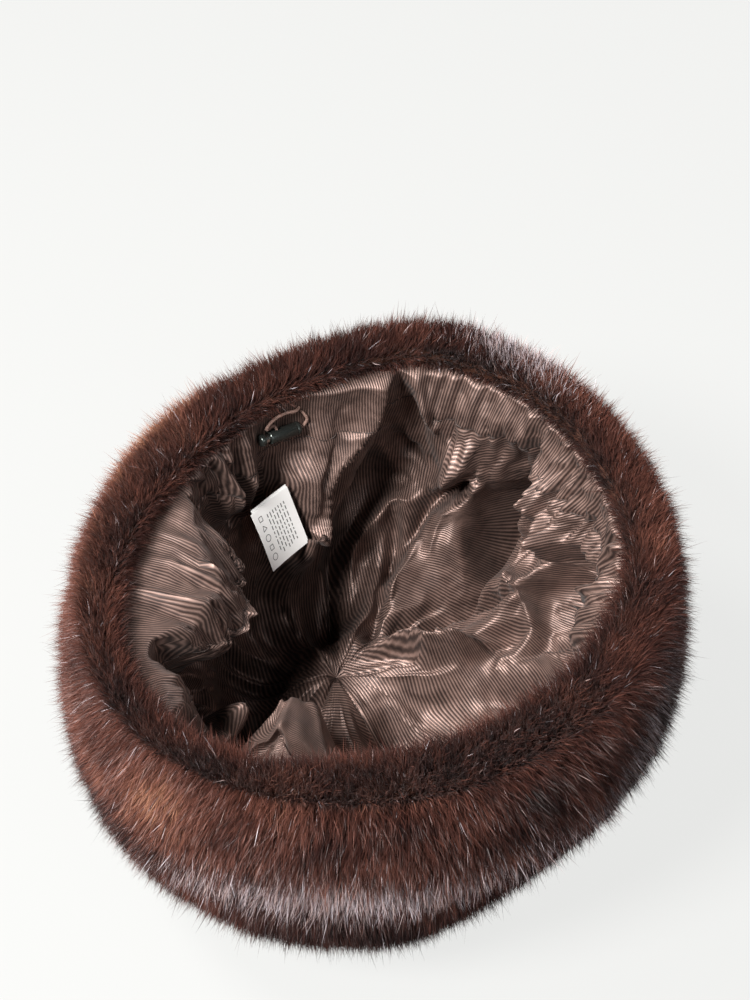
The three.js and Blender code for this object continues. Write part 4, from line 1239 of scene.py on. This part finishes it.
def make_button():
    """The button's head, in dark metal, and its stem, in nickel."""
    start, axis, _ = lock_frame()
    radius, stem, travel = BUTTON["radius"], BUTTON["stem"], BUTTON["travel"]
    foot = BUTTON["start"]
    head = BARREL["length"] + travel + BUTTON["gap"]
    tip = float(np.linalg.norm(np.array(LOCK_BUTTON_END) - np.array(LOCK_BLIND_END)))
    profile = [
        (0.01, foot),
        (stem - 0.1, foot),
        (stem, foot + 0.1),
        (stem, head - 0.1),
        (stem + 0.1, head),
        (radius - 0.15, head),
        (radius, head + 0.15),
        (radius, tip - 0.6),
        (radius - 0.2, tip - 0.2),
        (radius - 0.6, tip),
        (0.01, tip),
    ]
    slot_middle, slot_length = SLOT["middle"] + travel / 2, SLOT["length"] + travel
    button = lock_part("cord_lock_plunger", profile, slot_middle, slot_length, GUNMETAL, NICKEL)
    for polygon in button.data.polygons:
        if (np.array(polygon.center) * 1000 - start) @ axis < head - 0.3:
            polygon.material_index = 1
    sharpen(button, METAL_BEND)
    ride(button, "lock_metal", "cord_lock_button", body="button")


def make_cord():
    """The cord's two strands outside the casing, from the eyelet to the lock's slot and to its hole."""
    start, axis, through = lock_frame()
    slot = start + axis * SLOT["middle"]
    upper = [slot - through * before + axis * along for before, along in UPPER_AT_LOCK]
    upper += [near_lip(p["angle"], p["offset"], p["height"]) for p in UPPER_STRAND]
    lower = [near_lip(p["angle"], p["offset"], p["height"]) for p in LOWER_STRAND]
    lower += [start - axis * before + np.array([0, 0, lift]) for before, lift in LOWER_AT_LOCK]
    for name, points in (("cord_upper", upper), ("cord_lower", lower)):
        piece = tube(name, smooth_line(points, 8), CORD_RADIUS, 14)
        piece.data.materials.append(CORD)
        ride(piece, "cord", *(["drawcord"] if name == "cord_upper" else []))


def make_eyelet():
    middle = near_lip(EYELET["angle"], INNER_FACE, CORD_HEIGHT)
    side = unit(near_lip(EYELET["angle"] - 1, 0, 0) - near_lip(EYELET["angle"] + 1, 0, 0))
    out = np.cross(side, np.array([0, 0, 1]))
    turn = np.linspace(0, 2 * math.pi, 49)[:-1]
    half_wide, half_high = (EYELET[key] + EYELET["wire"] / 2 for key in ("half_width", "half_height"))
    line = middle + out * EYELET_LIFT + np.cos(turn)[:, None] * half_wide * side
    line[:, 2] += np.sin(turn) * half_high
    piece = tube("eyelet_ring", line, EYELET_TUBE, 14, closed=True)
    piece.data.materials.append(EYELET_PAINT)
    ride(piece, "eyelet", "cord_eyelet")


# Care label
def label_sheet(name, size, corner, across, down, lift, curl, columns=24, rows=26):
    """A thin tape with a slight curl, as a closed mesh. Returns it and the function of its front face."""
    across, down = unit(np.array(across)), unit(np.array(down))
    front = unit(np.cross(across, down))
    down = np.cross(front, across)

    def face(u, v):
        u, v = np.asarray(u, float), np.asarray(v, float)
        bow = curl * (u**2) * 4 + 0.8 * np.sin(v * 2.6 + 0.4) * u
        flat = np.array(corner) + np.array([*CENTRE, 0])
        flat = flat + u[..., None] * size[0] * across + v[..., None] * size[1] * down
        return flat + (lift + bow)[..., None] * front

    v, u = np.meshgrid(np.linspace(0, 1, rows), np.linspace(0, 1, columns), indexing="ij")
    upper = face(u, v).reshape(-1, 3)
    points = np.concatenate([upper, upper - front * LABEL_THICKNESS])
    top = grid_faces(rows, columns, False)
    bottom = top[:, ::-1] + len(upper)
    edge = np.concatenate([
        np.arange(columns),
        np.arange(1, rows) * columns + columns - 1,
        rows * columns - 2 - np.arange(columns - 1),
        (rows - 2 - np.arange(rows - 2)) * columns,
    ])
    after = np.roll(edge, -1)
    rim_faces = np.stack([edge, edge + len(upper), after + len(upper), after], -1)
    piece = make_mesh(name, points, np.concatenate([top[:, ::-1], bottom[:, ::-1], rim_faces[:, ::-1]]))
    piece.data.materials.append(LABEL)
    sharpen(piece, 50)
    return piece, lambda a, b: face(a, b) + front * 0.03


def print_marks(face):
    """Generic marks: rows of dashes and a column of plain shapes."""
    points, faces = [], []

    def stroke(a, b, wide):
        a, b = np.array(a, float), np.array(b, float)
        way = (b - a) * np.array(LABEL_SIZE)
        side = np.array([-way[1], way[0]]) / np.linalg.norm(way) * wide / 2 / np.array(LABEL_SIZE)
        corners = [a - side, a + side, b + side, b - side]
        first = len(points)
        points.extend(face(np.array([c[0] for c in corners]), np.array([c[1] for c in corners])))
        faces.append([first, first + 1, first + 2, first + 3])

    rng = np.random.default_rng(71)
    for row in range(MARK_ROWS):
        across = 0.2 + row * 0.075
        at = 0.16
        while at < 0.82:
            end = min(at + rng.uniform(0.03, 0.1), 0.86)
            stroke((across, at), (across, end), 0.5)
            at = end + 0.03
    for index, sides in enumerate(SIGN_SIDES):
        middle = np.array([0.83, 0.16 + 0.165 * index])
        turn = np.arange(sides + 1) * 2 * math.pi / sides + math.pi / 4
        ring = middle + 0.062 * np.stack([np.cos(turn), np.sin(turn) * LABEL_SIZE[0] / LABEL_SIZE[1]], -1)
        for a, b in zip(ring[:-1], ring[1:]):
            stroke(a, b, 0.3)
    piece = make_mesh("label_marks", np.array(points), faces, smooth=False)
    piece.data.materials.append(INK)
    return ride(piece, "label")


def make_label():
    front, face = label_sheet("label_front", LABEL_SIZE, LABEL_CORNER, LABEL_ACROSS, LABEL_DOWN, 0.4, 0.5)
    ride(front, "label", "care_label")
    corner = np.array(LABEL_CORNER) + np.array(LABEL_BACK_SHIFT)
    back, _ = label_sheet("label_back", LABEL_BACK_SIZE, corner, LABEL_ACROSS, LABEL_DOWN, -0.6, 0.25)
    ride(back, "label")
    print_marks(face)


# Stage
def make_stage():
    points = np.array([(x, y, 0) for x, y in ((-1, -1), (1, -1), (1, 1), (-1, 1))], float) * FLOOR_HALF_SIZE
    points[:, 2] = FLOOR_HEIGHT
    floor = make_mesh("floor", points, [[0, 1, 2, 3]], smooth=False)
    material, shader = new_material("pale_floor", Roughness=0.9, Specular_IOR_Level=0.1)
    grain = add_node(material, "TexNoise", Scale=3.0, Detail=2.0)
    colour = ramp(material, grain.outputs[0], [(0.3, (0.05, 0.05, 0.049)), (0.7, (0.054, 0.054, 0.053))])
    link(material, colour, shader.inputs["Base Color"])
    shader.inputs["Emission Color"].default_value = (0.97, 0.975, 0.96, 1)
    shader.inputs["Emission Strength"].default_value = 0.8
    floor.data.materials.append(material)
    floor.visible_diffuse = False
    floor.visible_glossy = False


def area_light(name, at, aim, size, power, colour):
    data = bpy.data.lights.new(name, "AREA")
    data.shape = "DISK"
    data.size = size
    data.energy = power
    data.color = colour
    light = bpy.data.objects.new(name, data)
    light.location = Vector(at) / 1000
    way = Vector(aim) / 1000 - light.location
    light.rotation_euler = way.to_track_quat("-Z", "Y").to_euler()
    bpy.context.scene.collection.objects.link(light)


def make_lights():
    for name, settings in LIGHTS.items():
        area_light(name, **settings)
    world = bpy.data.worlds.new("soft_room")
    world.use_nodes = True
    background = world.node_tree.nodes["Background"]
    background.inputs["Color"].default_value = (0.96, 0.975, 1, 1)
    background.inputs["Strength"].default_value = WORLD_STRENGTH
    bpy.context.scene.world = world
    bpy.context.scene.view_settings.view_transform = "Standard"


make_stage()
make_lights()
fur_skin()
for part, settings in FUR_PARTS.items():
    fur_blades(part, **settings)
lining = make_lining()
make_barrel()
make_button()
make_cord()
make_eyelet()
make_label()
